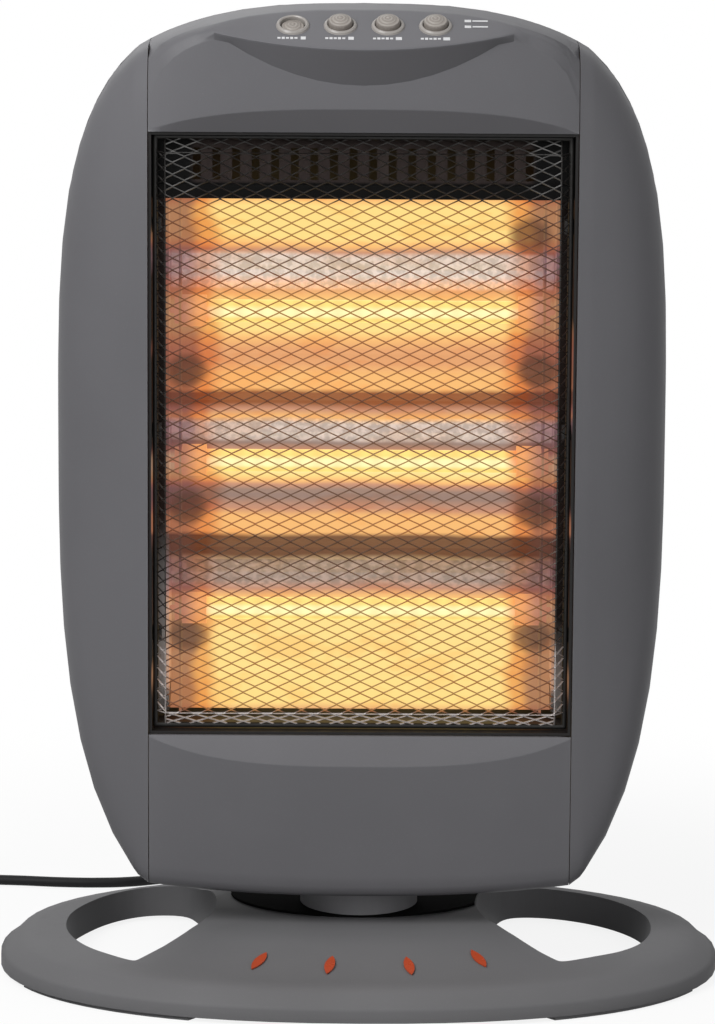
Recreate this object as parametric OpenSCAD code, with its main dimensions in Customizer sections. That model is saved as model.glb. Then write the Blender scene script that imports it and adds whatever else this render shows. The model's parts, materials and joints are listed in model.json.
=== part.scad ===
// Upright quartz tube heater on an oval swivel base, four push buttons on top.
// Millimetres, +Z up, the front faces -Y. The origin lies on the floor under the base centre.

/* [Head outline] */
// Half of the head's width
half_w = 163; // [140:0.5:190]
// Height of the head's widest level above the floor
mid_z = 286; // [280:1:292]
// From the widest level up to the top
up_h = 237.5; // [225:0.5:250]
// From the widest level down to where the lower curve would close
low_h = 270; // [255:1:300]
// Squareness of the upper curve towards the top
up_n = 3.8; // [2.6:0.1:6]
// Squareness of the upper curve towards the sides
up_m = 3.6; // [2.6:0.1:6]
// How far the crown is drawn in between its middle and its corners
crown_sag = 2.5; // [0:0.1:4]
// Squareness of the lower curve
low_n = 3; // [2.6:0.1:6]
// Height of the head's underside at its centre
under_z = 48; // [46:0.5:52]
// Radius that the underside's edge sags by
under_r = 1250; // [700:50:2000]
// Depth of the head in front of the swivel axis
front_d = 58; // [54:0.5:66]
// Squareness of the front in plan
plan_n = 3; // [2.4:0.1:4]
// Squareness of the front seen from the side
side_n = 8; // [6:0.5:10]
// Squareness of the lower front edge seen from the side
sill_n = 26; // [12:1:40]
// Depth of the head behind the swivel axis
rear_d = 53; // [48:0.5:60]
// Wall of the moulded shells
wall = 2.5; // [2:0.1:3.5]
// Shadow gap between two shells
seam_gap = 0.4; // [0.2:0.1:0.8]

/* [Front opening] */
// From the end of a bare tube out to the seam of the wings
lamp_side = 24; // [20:0.5:30]
// Lower edge of the opening
open_z0 = 136.5; // [125:0.5:145]
// From the console's lip down to the upper edge of the opening
open_drop = 46; // [42:0.5:52]
// How far the bevel over the opening reaches up at its centre
bevel_up = 13; // [8:0.5:18]
// How far the bevel under the opening reaches down at its centre
bevel_down = 15; // [8:0.5:18]
// Sheet of the black frame inside the opening
frame_t = 1.5; // [1:0.1:2.5]
// Gap between the black frame and the shells
frame_gap = 0.3; // [0.2:0.1:0.6]
// Depth of the black frame behind the opening
frame_d = 36; // [30:1:42]
// Height of the vented strip at the top of the frame
vent_h = 36; // [30:1:42]
// How far back the vented strip lies from the frame's edge
vent_back = 10.5; // [10:0.5:14]
// Number of slots in the vented strip
vent_n = 18; // [12:1:20]
// Distance from slot to slot
vent_pitch = 10.3; // [9:0.1:11]
// Width of a slot
vent_w = 4.2; // [3:0.1:6]
// Length of a slot
vent_l = 17; // [12:0.5:22]

/* [Console] */
// How far the console's front lip lies below the top of the head
lip_drop = 17; // [14:0.5:20]
// How far the lip stands out from the swivel axis
lip_d = 69; // [66:0.5:72]
// Radius of the lip in plan
lip_r = 229; // [200:1:260]
// Slope of the console
console_a = 28; // [26:0.5:32]
// From the lip down to the scoop's lower edge at its centre
scoop_drop = 20.5; // [17:0.5:24]
// How far the scoop's lower edge rises at the lip's ends
scoop_rise = 29; // [22:0.5:32]
// Half length of the lip
lip_half = 81; // [75:0.5:88]
// Distance from button to button
button_pitch = 24.8; // [20:0.1:26]
// Distance of the buttons from the lip, along the console
button_up = 21; // [19:0.5:24]
// Outer diameter of a button's bezel
bezel_d = 17.5; // [15:0.1:19]
// Height of the bezel over the console
bezel_h = 1.6; // [1:0.1:2.5]
// Diameter of a button's cap
cap_d = 12.6; // [10:0.1:13.5]
// Radial gap round a cap
cap_gap = 0.3; // [0.2:0.05:0.5]
// Travel of a button
cap_travel = 4.2; // [3:0.1:4.6]
// Height of a released cap over the console
cap_h = 5.4; // [4.5:0.1:7]

/* [Heating] */
// Height of the lowest tube
tube_z0 = 198.5; // [190:0.5:205]
// Distance from tube to tube
tube_pitch = 81; // [76:0.5:84]
// Diameter of a quartz tube
tube_d = 12; // [10:0.5:14]
// Wall of a quartz tube
tube_wall = 1.1; // [0.8:0.1:1.5]
// Length of the bare tube between the caps
tube_l = 178; // [165:1:186]
// How far in front of the swivel axis the tubes lie
tube_y = 14; // [10:0.5:18]
// Diameter of a ceramic end cap
cap_end_d = 17; // [15:0.5:20]
// Length of a ceramic end cap
cap_end_l = 13; // [10:0.5:15]
// How deep a tube sits in its cap
cap_seat = 6; // [4:0.5:8]
// Turns of one heating wire
wire_turns = 16; // [10:1:24]
// Thickness of the heating wire
wire_d = 1.4; // [1.2:0.1:1.8]
// Outer radius of the wound wire
wire_r = 3.6; // [3:0.1:3.8]
// Sheet of the reflector
refl_t = 0.8; // [0.6:0.1:1.2]
// Depth of the reflector's troughs
refl_d = 24; // [18:0.5:26]
// How far in front of the axis the reflector's ridges lie
refl_y = 6; // [2:0.5:8]
// Gap between the reflector's end and the seam of the wings
refl_side = 10; // [8:0.5:13]

/* [Guard] */
// Width of one diamond of the guard
mesh_w = 25; // [20:0.5:32]
// Height of one diamond of the guard
mesh_h = 26; // [22:0.5:34]
// Wire of the guard
mesh_wire = 1.4; // [1.2:0.1:2]
// Rim wire of the guard
rim_wire = 3; // [2.5:0.1:4]
// Depth of the guard's tray
guard_d = 7; // [6:0.5:7.5]
// Gap between the guard and the frame
guard_gap = 0.3; // [0.2:0.1:0.6]

/* [Base] */
// Half width of the base
base_x = 195; // [175:0.5:205]
// Half depth of the base
base_y = 124; // [112:0.5:130]
// Squareness of the base's outline
base_n = 2.25; // [2.1:0.05:3]
// Height of the feet under the base
foot_h = 2.4; // [1.5:0.1:4]
// Top of the upright rim
rim_z = 8.5; // [7:0.1:10]
// Top of the ring
ring_z = 19.5; // [17:0.5:21]
// Top of the bridge at the collar
bridge_z = 31; // [29:0.5:33]
// Wall of the base
base_wall = 2.6; // [2:0.1:3.5]
// Swivel axis behind the base's centre
pivot_y = 12; // [6:0.5:16]
// Radius of the flat seat round the swivel axis
seat_r = 38; // [36:0.5:42]
// Radius of the collar
collar_r = 32; // [30:0.5:34]
// Radius of the collar's journal in the base
journal_r = 27; // [24:0.5:28]
// Radial clearance of the journal
journal_gap = 0.1; // [0.05:0.01:0.1]
// Vertical running gap of the turntable
deck_gap = 0.3; // [0.2:0.05:0.5]
// Thickness of the cover under the base
cover_t = 2; // [1.5:0.1:3]
// Thickness of the black deck round the collar
deck_t = 1.2; // [1:0.1:2]
// How far the bridge between the two holes lies off the base's centre
bridge_off = -6.6; // [-9:0.1:0]
// Length of a leaf-shaped insert
leaf_l = 19; // [12:0.5:24]
// Width of a leaf-shaped insert
leaf_w = 5.4; // [5:0.1:9]
// How far the middle of an insert's underside stands over the base
leaf_up = 0.5; // [0.3:0.05:0.8]

/* [Swing drive] */
// Distance from the swivel axis to the motor shaft
crank_off = 30; // [28:0.5:32]
// Throw of the crank pin
crank_r = 17.2; // [15:0.1:17.5]
// Diameter of the crank pin
pin_d = 5; // [4:0.1:6]
// Clearance of the pin in the yoke's slot, each side
pin_gap = 1.6; // [1.4:0.1:2]
// Diameter of the motor
motor_d = 49; // [44:0.5:50]
// Height of the motor
motor_h = 10; // [8:0.5:10.5]

/* [Cord] */
// Diameter of the mains cord
cord_d = 5.8; // [5:0.1:7]
// Radius of the coil's inner turn
coil_r0 = 24; // [22:0.5:30]
// Radial step from turn to turn
coil_step = 6.4; // [6.3:0.1:8]

/* [Hidden] */
$fn = 64;
eps = 0.01;

seam_x = tube_l / 2 + lamp_side;
refl_x = seam_x - refl_side;
lip_z = mid_z + up_h - lip_drop;
open_z1 = lip_z - open_drop;
scoop_z = lip_z - scoop_drop;

// Superellipse: how far the curve is from its axis at the fraction t of the other axis
function se(t, n) = pow(max(0, 1 - pow(abs(t), n)), 1 / n);
function se2(t, n, m) = pow(max(0, 1 - pow(abs(t), n)), 1 / m);
function sgn(v) = v < 0 ? -1 : 1;

// Outline and sections of the head
// Share of the crown's sag: none at the middle and at the corners
function sag(t) = t < 1 ? 9.48 * pow(t, 3) * (1 - t) : 0;
function z_top(x) = mid_z + up_h * se2(x / half_w, up_n, up_m)
    - crown_sag * sag(abs(x) / half_w / 0.73);
function z_bot(x) = max(mid_z - low_h * se(x / half_w, low_n),
    under_z + x * x / (2 * under_r));
function y_cap(x) = front_d * se(x / half_w, plan_n);
function z_cen(x) = (z_top(x) + z_bot(x)) / 2;
function z_half(x) = (z_top(x) - z_bot(x)) / 2;
function sill_y(x, z) = -y_cap(x) * se((z - z_cen(x)) / z_half(x), sill_n);
function sill_z(x, f) = z_cen(x) - z_half(x) * se(f, sill_n);

// Two faces of a grid cell, its corners counter-clockwise from outside
function quad(a, b, c, d) = [[a, c, b], [a, d, c]];
function flat(l) = [for (a = l) for (b = a) b];

// Shell between an outer and an inner grid of points
module shell_grid(o, i) {
    nr = len(o);
    nc = len(o[0]);
    n = nr * nc;
    pts = concat(flat(o), flat(i));
    skin = [for (r = [0:nr - 2]) for (c = [0:nc - 2])
        quad(r * nc + c, r * nc + c + 1, (r + 1) * nc + c + 1, (r + 1) * nc + c)];
    back = [for (r = [0:nr - 2]) for (c = [0:nc - 2])
        quad(n + r * nc + c, n + (r + 1) * nc + c, n + (r + 1) * nc + c + 1, n + r * nc + c + 1)];
    side0 = [for (r = [0:nr - 2]) quad(r * nc, (r + 1) * nc, n + (r + 1) * nc, n + r * nc)];
    side1 = [for (r = [0:nr - 2]) quad((r + 1) * nc - 1, n + (r + 1) * nc - 1,
        n + (r + 2) * nc - 1, (r + 2) * nc - 1)];
    end0 = [for (c = [0:nc - 2]) quad(c, n + c, n + c + 1, c + 1)];
    m = (nr - 1) * nc;
    end1 = [for (c = [0:nc - 2]) quad(m + c, m + c + 1, n + m + c + 1, n + m + c)];
    polyhedron(pts, concat(flat(skin), flat(back), flat(side0), flat(side1),
        flat(end0), flat(end1)));
}

// Shell like shell_grid whose last rows close as a tip
module tip_grid(o, i) {
    nr = len(o);
    nc = len(o[0]);
    n = nr * nc;
    pts = concat(flat(o), flat(i));
    skin = [for (r = [0:nr - 2]) for (c = [0:nc - 2])
        quad(r * nc + c, r * nc + c + 1, (r + 1) * nc + c + 1, (r + 1) * nc + c)];
    back = [for (r = [0:nr - 2]) for (c = [0:nc - 2])
        quad(n + r * nc + c, n + (r + 1) * nc + c, n + (r + 1) * nc + c + 1, n + r * nc + c + 1)];
    side0 = [for (r = [0:nr - 2]) quad(r * nc, (r + 1) * nc, n + (r + 1) * nc, n + r * nc)];
    side1 = [for (r = [0:nr - 2]) quad((r + 1) * nc - 1, n + (r + 1) * nc - 1,
        n + (r + 2) * nc - 1, (r + 2) * nc - 1)];
    end0 = [for (c = [0:nc - 2]) quad(c, n + c, n + c + 1, c + 1)];
    m = (nr - 1) * nc;
    cap_o = [for (c = [1:nc - 2]) [m, m + c + 1, m + c]];
    cap_i = [for (c = [1:nc - 2]) [n + m, n + m + c, n + m + c + 1]];
    tip = quad(m, m + nc - 1, n + m + nc - 1, n + m);
    polyhedron(pts, concat(flat(skin), flat(back), flat(side0), flat(side1),
        flat(end0), cap_o, cap_i, tip));
}

// Rings of points joined one to the next, the last to the first
module loop_loft(rings) {
    k = len(rings);
    n = len(rings[0]);
    faces = [for (r = [0:k - 1]) for (c = [0:n - 1])
        quad(r * n + c, r * n + (c + 1) % n,
            ((r + 1) % k) * n + (c + 1) % n, ((r + 1) % k) * n + c)];
    polyhedron(flat(rings), flat(faces));
}

// Tube of a few sides along points, ends closed
function unit(v) = v / norm(v);
function ring_at(p, t, r, n) = let (s = unit(cross(t, [0, 0, 1])), u = cross(s, t))
    [for (a = [0:n - 1]) p + r * (cos(360 * a / n) * s + sin(360 * a / n) * u)];
module sweep(path, r, n) {
    k = len(path);
    tan = [for (i = [0:k - 1]) unit(path[min(i + 1, k - 1)] - path[max(i - 1, 0)])];
    pts = flat([for (i = [0:k - 1]) ring_at(path[i], tan[i], r, n)]);
    sides = [for (i = [0:k - 2]) for (c = [0:n - 1])
        quad(i * n + c, (i + 1) * n + c, (i + 1) * n + (c + 1) % n, i * n + (c + 1) % n)];
    m = (k - 1) * n;
    cap0 = [for (c = [1:n - 2]) [0, c + 1, c]];
    cap1 = [for (c = [1:n - 2]) [m, m + c, m + c + 1]];
    polyhedron(pts, concat(flat(sides), cap0, cap1));
}

module head() { translate([0, pivot_y, 0]) children(); }

// ---------------------------------------------------------------- head shells
shell_x = seam_x - seam_gap / 2;
half_st = [0, 12, 24, 36, 48, 60, 70, 78, 84, 88, 93, 99, 106];
side_st = [for (x = half_st) x * shell_x / 112.8];
stations = concat([-shell_x], [for (k = [len(side_st) - 1:-1:1]) -side_st[k]], side_st,
    [shell_x]);
// The top panel's corner is sharper towards its middle
function top_n(x) = side_n + 14 * (1 - pow(abs(x) / seam_x, 6));
function top_y(x, z) = -y_cap(x) * se((z - z_cen(x)) / z_half(x), top_n(x));
function top_z(x, y) = z_cen(x) + z_half(x) * se(y / y_cap(x), top_n(x));
plane_t = tan(console_a);
function plane_z(y) = lip_z + (y + lip_d) * plane_t;
function lip_y(x) = -lip_d + lip_r - sqrt(lip_r * lip_r - x * x);
function crease_y(x) = -lip_d + (top_z(x, -40) - lip_z) / plane_t;
function has_lip(x) = crease_y(x) > lip_y(x) + 2;
edge_y = -y_cap(seam_x) + 0.3;
function bevel_hi(x) = open_z1 + bevel_up * (y_cap(x) + edge_y) / (front_d + edge_y);
function bevel_lo(x) = open_z0 - bevel_down * (y_cap(x) + edge_y) / (front_d + edge_y);
function scoop_at(x) = min(scoop_z + scoop_rise * pow(x / lip_half, 2), z_top(x) - 8);

// Front section of the top panel at x, from the rear seam over the console to the opening
function top_row(x) = let (
    lip = has_lip(x),
    fy = lip ? lip_y(x) : -0.95 * y_cap(x),
    cy = lip ? crease_y(x) : fy + 3,
    cz = lip ? plane_z(cy) : top_z(x, cy),
    fz = lip ? plane_z(fy) : top_z(x, fy),
    sz = min(scoop_at(x), fz - 3)) [
    [x, 0, z_top(x)],
    [x, cy / 2, top_z(x, cy / 2)],
    [x, cy + 3, lip ? min(top_z(x, cy + 3), cz + 0.5) : top_z(x, cy + 3)],
    [x, cy - 1, lip ? plane_z(cy - 1) : top_z(x, cy - 1)],
    [x, (cy + fy) / 2, lip ? (cz + fz) / 2 : top_z(x, (cy + fy) / 2)],
    [x, fy + 0.5, lip ? plane_z(fy + 0.5) : top_z(x, fy + 0.5)],
    [x, fy, fz - 0.8],
    [x, min(fy + 0.4, top_y(x, sz)), fz - 2],
    [x, top_y(x, sz), sz],
    [x, top_y(x, (sz + bevel_hi(x)) / 2), (sz + bevel_hi(x)) / 2],
    [x, top_y(x, bevel_hi(x) + 0.5), bevel_hi(x) + 0.5],
    [x, top_y(x, bevel_hi(x)) + 0.2, bevel_hi(x) - 0.4],
    [x, edge_y, open_z1]];
// A point moved into the shell towards a core line
function inward(p, y, z) = let (d = unit([0, y - p[1], z - p[2]])) p + wall * d;
function top_in(x) = let (r = top_row(x), n = len(r)) [for (i = [0:n - 1])
    i == 0 ? r[0] - [0, 0, wall] : i == n - 1 ? r[i] + [0, wall, 0]
        : inward(r[i], -0.43 * front_d, scoop_z - 2)];

sill_mid = (open_z0 + under_z) / 2;
function low_row(x) = let (bz = bevel_lo(x), h = y_cap(x)) [
    [x, edge_y, open_z0],
    [x, sill_y(x, bz) + 0.2, bz + 0.4],
    [x, sill_y(x, bz - 0.5), bz - 0.5],
    [x, sill_y(x, sill_mid), sill_mid],
    [x, -0.99 * h, sill_z(x, 0.99)],
    [x, -0.975 * h, sill_z(x, 0.975)],
    [x, -0.95 * h, sill_z(x, 0.95)],
    [x, -0.91 * h, sill_z(x, 0.91)],
    [x, -0.84 * h, sill_z(x, 0.84)],
    [x, -0.4 * h, sill_z(x, 0.4)],
    [x, 0, z_bot(x)]];
function low_in(x) = let (r = low_row(x), n = len(r)) [for (i = [0:n - 1])
    i == 0 ? r[0] + [0, wall, 0] : i == n - 1 ? r[i] + [0, 0, wall]
        : inward(r[i], -0.4 * front_d, sill_mid + 10)];

// Frame of one button on the console, k from 0 to 3
module on_console(k) {
    head() translate([(k - 1.5) * button_pitch, -lip_d, lip_z]) rotate([console_a, 0, 0])
        translate([0, button_up, 0]) children();
}

module top_panel() color("#6a6b70") {
    difference() {
        head() shell_grid([for (x = stations) top_row(x)], [for (x = stations) top_in(x)]);
        for (k = [0:3]) on_console(k) translate([0, 0, -3.2 * wall])
            cylinder(d = bezel_d - 3, h = 5.6 * wall);
    }
}

module bottom_panel() color("#6a6b70") {
    difference() {
        head() shell_grid([for (x = stations) low_row(x)], [for (x = stations) low_in(x)]);
        head() translate([0, 0, under_z - 4 * wall]) cylinder(r = collar_r - 4, h = 12 * wall);
    }
}

// Fractions at which the wing's sections are taken, from the seam out to the tip
wing_s = [0.985, 0.95, 0.9, 0.83, 0.74, 0.63, 0.5, 0.36, 0.22, 0.1, 0.03];
function wing_x(s) = half_w * se(s, up_n);
wing_st = concat([seam_x + seam_gap / 2, seam_x + 6], [for (s = [0.9, 0.85, 0.78, 0.7, 0.6, 0.49,
    0.37, 0.25, 0.14, 0.05]) wing_x(s)]);
wing_a = [for (k = [0:24]) 90 - 7.5 * k];
function wing_n(x, n) = n + (3.2 - n) * pow((x - seam_x) / (half_w - seam_x), 0.7);
// One section of the wing: angle 90 is the top, 0 the front, -90 the bottom
function wing_row(x, t) = let (zc = z_cen(x),
    h = max(0.4, z_half(x) - t), d = max(0.4, y_cap(x) - t)) [for (a = wing_a)
    let (n = 2 / wing_n(x, a < 0 ? sill_n : side_n))
    [x, -d * pow(max(0, cos(a)), n), zc + h * sgn(a) * pow(abs(sin(a)), n)]];
function wing_in(x) = seam_x + seam_gap / 2
    + (x - seam_x - seam_gap / 2) * (half_w - wall - seam_x) / (half_w - seam_x);
module wing() {
    tip_grid([for (x = wing_st) wing_row(x, 0)],
        [for (x = wing_st) let (r = wing_row(x, wall)) [for (p = r) [wing_in(x), p[1], p[2]]]]);
}
module right_wing() color("#6a6b70") head() wing();
module left_wing() color("#6a6b70") head() mirror([1, 0, 0]) wing();

// Outline ring of the rear shell, drawn in by i, at the depth y
ring_n = 72;
function out_pt(a, i) = let (c = cos(a), s = sin(a), up = s > 0, n = 2 / (up ? up_n : low_n),
    x = (half_w - i) * sgn(c) * pow(abs(c), n),
    z = mid_z + (up ? (up_h - i) * pow(s, 2 / up_m) : (i - low_h) * pow(-s, n))
        - (up ? crown_sag * sag(abs(x) / (half_w - i) / 0.73) : 0))
    [x, max(z, under_z + i + x * x / (2 * under_r))];
function out_ring(i, y) = [for (k = [0:ring_n - 1]) let (p = out_pt(360 * k / ring_n, i))
    [p[0], y, p[1]]];
panel_in = 56;
panel_w = half_w - panel_in;
ledge = 6;
module rear_shell() color("#5c5d62") head() difference() {
    t = wall;
    loop_loft([out_ring(t, seam_gap), out_ring(0.6 + t, 8), out_ring(2 + t, 16),
        out_ring(5 + t, 25 - t / 2), out_ring(10 + t, 34 - t), out_ring(19 + t, 42.5 - t),
        out_ring(29 + t / 2, 48.5 - t), out_ring(38 + t / 2, rear_d - 2.2 - t),
        out_ring(48, rear_d - 3.2 - t), out_ring(panel_in + ledge + 0.1, rear_d - 2.9 - t),
        out_ring(panel_in + ledge, rear_d - 2.9), out_ring(panel_in + 0.1, rear_d - 2.8),
        out_ring(panel_in, rear_d), out_ring(48, rear_d - 0.2), out_ring(38, rear_d - 1.2),
        out_ring(28, 49), out_ring(18, 43), out_ring(10, 34), out_ring(5, 25), out_ring(2, 16),
        out_ring(0.6, 8), out_ring(0, seam_gap)]);
    translate([0, 0, under_z - 4 * wall]) cylinder(r = collar_r - 4, h = 12 * wall);
}

// Vented cover in the back, with two fields of slots
module rear_panel() color("#55565b") head() difference() {
    rotate([90, 0, 0]) translate([0, 0, 0.3 - rear_d]) linear_extrude(2.4) difference() {
        polygon([for (k = [0:ring_n - 1]) out_pt(360 * k / ring_n, panel_in + 0.4)]);
        for (row = [0:13]) for (s = [-1, 1]) translate([s * panel_w * 0.4, open_z0 + 13.5
            + row * 11]) square([panel_w * 0.52, 4.4], center = true);
        for (row = [0:5]) translate([0, open_z1 - 88.5 + row * 11])
            square([panel_w * 1.05, 4.4], center = true);
    }
    for (p = screw_pts) translate([p[0], rear_d + 1, p[1]]) rotate([90, 0, 0])
        cylinder(d = 4.4, h = 6);
}
screw_pts = [for (s = [-1, 1]) for (p = [[18.5, open_z0 + 28.5], [16.5, mid_z + 4],
    [22.5, open_z1 - 50.5]]) [s * (panel_w - p[0]), p[1]]];
module shell_screws() color("silver") head() for (p = screw_pts)
    translate([p[0], rear_d - 0.3, p[1]]) rotate([90, 0, 0]) {
        difference() {
            translate([0, 0, -1.6]) cylinder(d = 7.6, h = 1.6);
            translate([0, 0, -2]) for (a = [0, 90]) rotate(a) cube([4.6, 1, 1.6], center = true);
        }
        translate([0, 0, -0.3]) cylinder(d = 4, h = 2.3);
    }

// Grip on the back: a bar on two feet
grip_l = 96;
grip_d = 13;
grip_out = 30;
grip_z = open_z1 - 8.5;
module carry_handle() color("#3b3b3e") head() translate([0, rear_d - 0.3, grip_z]) {
    translate([-grip_l / 2, grip_out, 0]) rotate([0, 90, 0]) cylinder(d = grip_d, h = grip_l);
    for (s = [-1, 1]) translate([s * grip_l / 2, 0, 0]) {
        translate([0, grip_out, 0]) sphere(d = grip_d);
        rotate([-90, 0, 0]) cylinder(d = grip_d, h = grip_out);
        rotate([-90, 0, 0]) cylinder(d = grip_d + 8, h = 3);
    }
}

// ---------------------------------------------------------------- inside the opening
fx = seam_x - frame_gap;
fz0 = open_z0 + frame_gap;
fz1 = open_z1 - frame_gap;
frame_y = edge_y + 2;
vent_z0 = fz1 - vent_h;
module inner_frame() color("#1b1b1c") head() translate([0, frame_y, 0]) difference() {
    translate([-fx, 0, fz0]) cube([2 * fx, frame_d, fz1 - fz0]);
    translate([-fx + frame_t, -1, fz0 + frame_t])
        cube([2 * (fx - frame_t), frame_d + 2, fz1 - fz0 - 2 * frame_t]);
}

module vent_grille() color("#1e1e1e") head()
    translate([-fx + frame_t, frame_y + vent_back, vent_z0]) difference() {
        w = 2 * (fx - frame_t);
        h = vent_h - frame_t;
        clear = rim_wire + 2 * guard_gap;
        union() {
            translate([0, 0, 0]) cube([w, 1.2, h]);
            translate([0, 0, 0]) cube([w, 12, 1.2]);
            translate([clear, -2.5, 0]) cube([w - 2 * clear, 2.6, 7.5]);
        }
        for (k = [0:vent_n - 1]) translate([w / 2 + (k - (vent_n - 1) / 2) * vent_pitch
            - vent_w / 2, -4, 9.6]) cube([vent_w, 8, vent_l]);
    }

refl_z0 = fz0 + frame_t + 3;
refl_z1 = vent_z0 - 1.5;
function tube_zk(k) = tube_z0 + k * tube_pitch;
ridge = [refl_z0, tube_zk(0.47), tube_zk(1.45), refl_z1];
function trough(z0, z1, t) = [for (k = [0:12]) let (u = -1 + k / 6, zc = (z0 + z1) / 2)
    [zc + u * (z1 - z0) / 2, -refl_y + (refl_d - t) * (1 - pow(abs(u), 2.4)) + t]];
refl_prof = concat(trough(ridge[0], ridge[1], 0), trough(ridge[1], ridge[2], 0),
    trough(ridge[2], ridge[3], 0));
module reflector() color("#d9d4cc") head() translate([refl_x, 0, 0]) rotate([0, -90, 0])
    linear_extrude(2 * refl_x) polygon(concat([for (p = refl_prof) [p[0], p[1]]],
        [for (k = [len(refl_prof) - 1:-1:0]) [refl_prof[k][0], refl_prof[k][1] + refl_t * 1.4]]));

cap_neck = 4;
cap_x = tube_l / 2 - cap_seat + cap_end_l + cap_neck;
brk_t = 1.2;
brk_x = cap_x - cap_neck + 0.3 + brk_t / 2;
module lamp_brackets() color("#b9b5ae") head() for (s = [-1, 1]) difference() {
    translate([s * brk_x - brk_t / 2, -tube_y - 12, refl_z0 + 2])
        cube([brk_t, 12 + tube_y - refl_y - 0.6, refl_z1 - refl_z0 - 4]);
    for (k = [0:2]) translate([s * brk_x - 3, -tube_y, tube_zk(k)])
        rotate([0, 90, 0]) cylinder(d = cap_end_d - 3 + 0.2, h = 6);
}

module quartz_tubes() color("#f3e2c8", 0.5) head() for (k = [0:2])
    translate([-tube_l / 2, -tube_y, tube_zk(k)]) rotate([0, 90, 0]) difference() {
        cylinder(d = tube_d, h = tube_l);
        translate([0, 0, -1]) cylinder(d = tube_d - 2 * tube_wall, h = tube_l + 2);
    }

module end_caps() color("#e8e2d6") head() for (k = [0:2]) for (s = [-1, 1])
    translate([s * (tube_l / 2 - cap_seat), -tube_y, tube_zk(k)]) rotate([0, s * 90, 0])
        difference() {
            union() {
                cylinder(d = cap_end_d, h = cap_end_l);
                cylinder(d = cap_end_d - 3, h = cap_end_l + cap_neck);
            }
            translate([0, 0, -1]) cylinder(d = tube_d + 0.2, h = cap_seat + 1.1);
        }

// Wound heating wire: a straight lead at each end, then the turns
wire_l = tube_l - 14;
function wire_pt(u) = [-wire_l / 2 + wire_l * u, wire_r * cos(360 * wire_turns * u),
    wire_r * sin(360 * wire_turns * u)];
wire_n = wire_turns * 8;
module wire_tube(path, r, n) {
    k = len(path);
    pts = flat([for (i = [0:k - 1]) let (
        t = unit(path[min(i + 1, k - 1)] - path[max(i - 1, 0)]),
        s = unit(cross(t, [1, 0, 0] + 0.001 * [0, 1, 0])), u = cross(s, t))
        [for (a = [0:n - 1]) path[i] + r * (cos(360 * a / n) * s + sin(360 * a / n) * u)]]);
    m = (k - 1) * n;
    polyhedron(pts, concat(flat([for (i = [0:k - 2]) for (c = [0:n - 1])
        quad(i * n + c, (i + 1) * n + c, (i + 1) * n + (c + 1) % n, i * n + (c + 1) % n)]),
        [for (c = [1:n - 2]) [0, c + 1, c]], [for (c = [1:n - 2]) [m, m + c, m + c + 1]]));
}
module heating_wires() color("#ffb347") head() for (k = [0:2])
    translate([0, -tube_y, tube_zk(k)])
        wire_tube([for (i = [0:wire_n]) wire_pt(i / wire_n)], wire_d / 2, 6);

module lamp_leads() color("#c9c2b0") head() for (k = [0:2]) for (s = [-1, 1])
    translate([s * (cap_x + 0.2), -tube_y, tube_zk(k)]) rotate([0, s * 90, 0]) {
        cylinder(d = 3, h = 1.4);
        translate([0, 0, 1.4]) sphere(d = 3);
    }

// ---------------------------------------------------------------- guard
gx = fx - frame_t - guard_gap - rim_wire;
gz0 = fz0 + frame_t + guard_gap + rim_wire;
gz1 = fz1 - frame_t - guard_gap - rim_wire;
guard_y = frame_y + 1.2;
module guard_rim() color("#2a2826") head() translate([0, guard_y + guard_d, 0]) {
    for (z = [gz0 - rim_wire / 2, gz1 + rim_wire / 2]) translate([-gx - rim_wire / 2, 0, z])
        rotate([0, 90, 0]) cylinder(d = rim_wire, h = 2 * gx + rim_wire);
    for (s = [-1, 1]) {
        translate([s * (gx + rim_wire / 2), 0, gz0 - rim_wire / 2])
            cylinder(d = rim_wire, h = gz1 - gz0 + rim_wire);
        for (z = [gz0 - rim_wire / 2, gz1 + rim_wire / 2])
            translate([s * (gx + rim_wire / 2), 0, z]) sphere(d = rim_wire);
    }
}

// Flat diamond net with its four sides folded back
module strut(a, b) {
    d = b - a;
    translate([a[0], 0, a[1]]) rotate([0, -atan2(d[1], d[0]), 0])
        translate([0, -mesh_wire / 2, -mesh_wire / 2])
            cube([norm(d), mesh_wire, mesh_wire]);
}
net_w = 2 * gx - mesh_wire;
net_h = gz1 - gz0 - mesh_wire;
// A slanted bar across the net, cut to its frame
module slant(c, s) {
    w = net_w / 2;
    h = net_h / 2;
    k = s * mesh_h / mesh_w;
    x0 = max(-w, min((s > 0 ? -h - c : h - c) / k, w));
    x1 = min(w, max((s > 0 ? h - c : -h - c) / k, -w));
    if (x1 - x0 > mesh_w / 3) strut([x0, k * x0 + c], [x1, k * x1 + c]);
}
module wire_guard() color("#2f2b28") head() translate([0, guard_y, (gz0 + gz1) / 2]) {
    reach = ceil((net_h / 2 + net_w / 2 * mesh_h / mesh_w) / mesh_h);
    for (i = [-reach:reach]) for (s = [-1, 1]) slant((i + 0.5) * mesh_h, s);
    for (s = [-1, 1]) {
        translate([s * net_w / 2 - mesh_wire / 2, -mesh_wire / 2, -net_h / 2 - mesh_wire / 2])
            cube([mesh_wire, guard_d - rim_wire / 2 + mesh_wire / 2, net_h + mesh_wire]);
        translate([-net_w / 2, -mesh_wire / 2, s * net_h / 2 - mesh_wire / 2])
            cube([net_w, guard_d - rim_wire / 2 + mesh_wire / 2, mesh_wire]);
    }
}

clip_z = [190, 300, 410];
module guard_clips() color("#8d8a86") head() for (s = [-1, 1]) for (z = clip_z)
    translate([s * (fx - frame_t) - (s > 0 ? 5 : 0), guard_y + guard_d + rim_wire / 2, z - 4])
        cube([5, 1, 8]);

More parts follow.
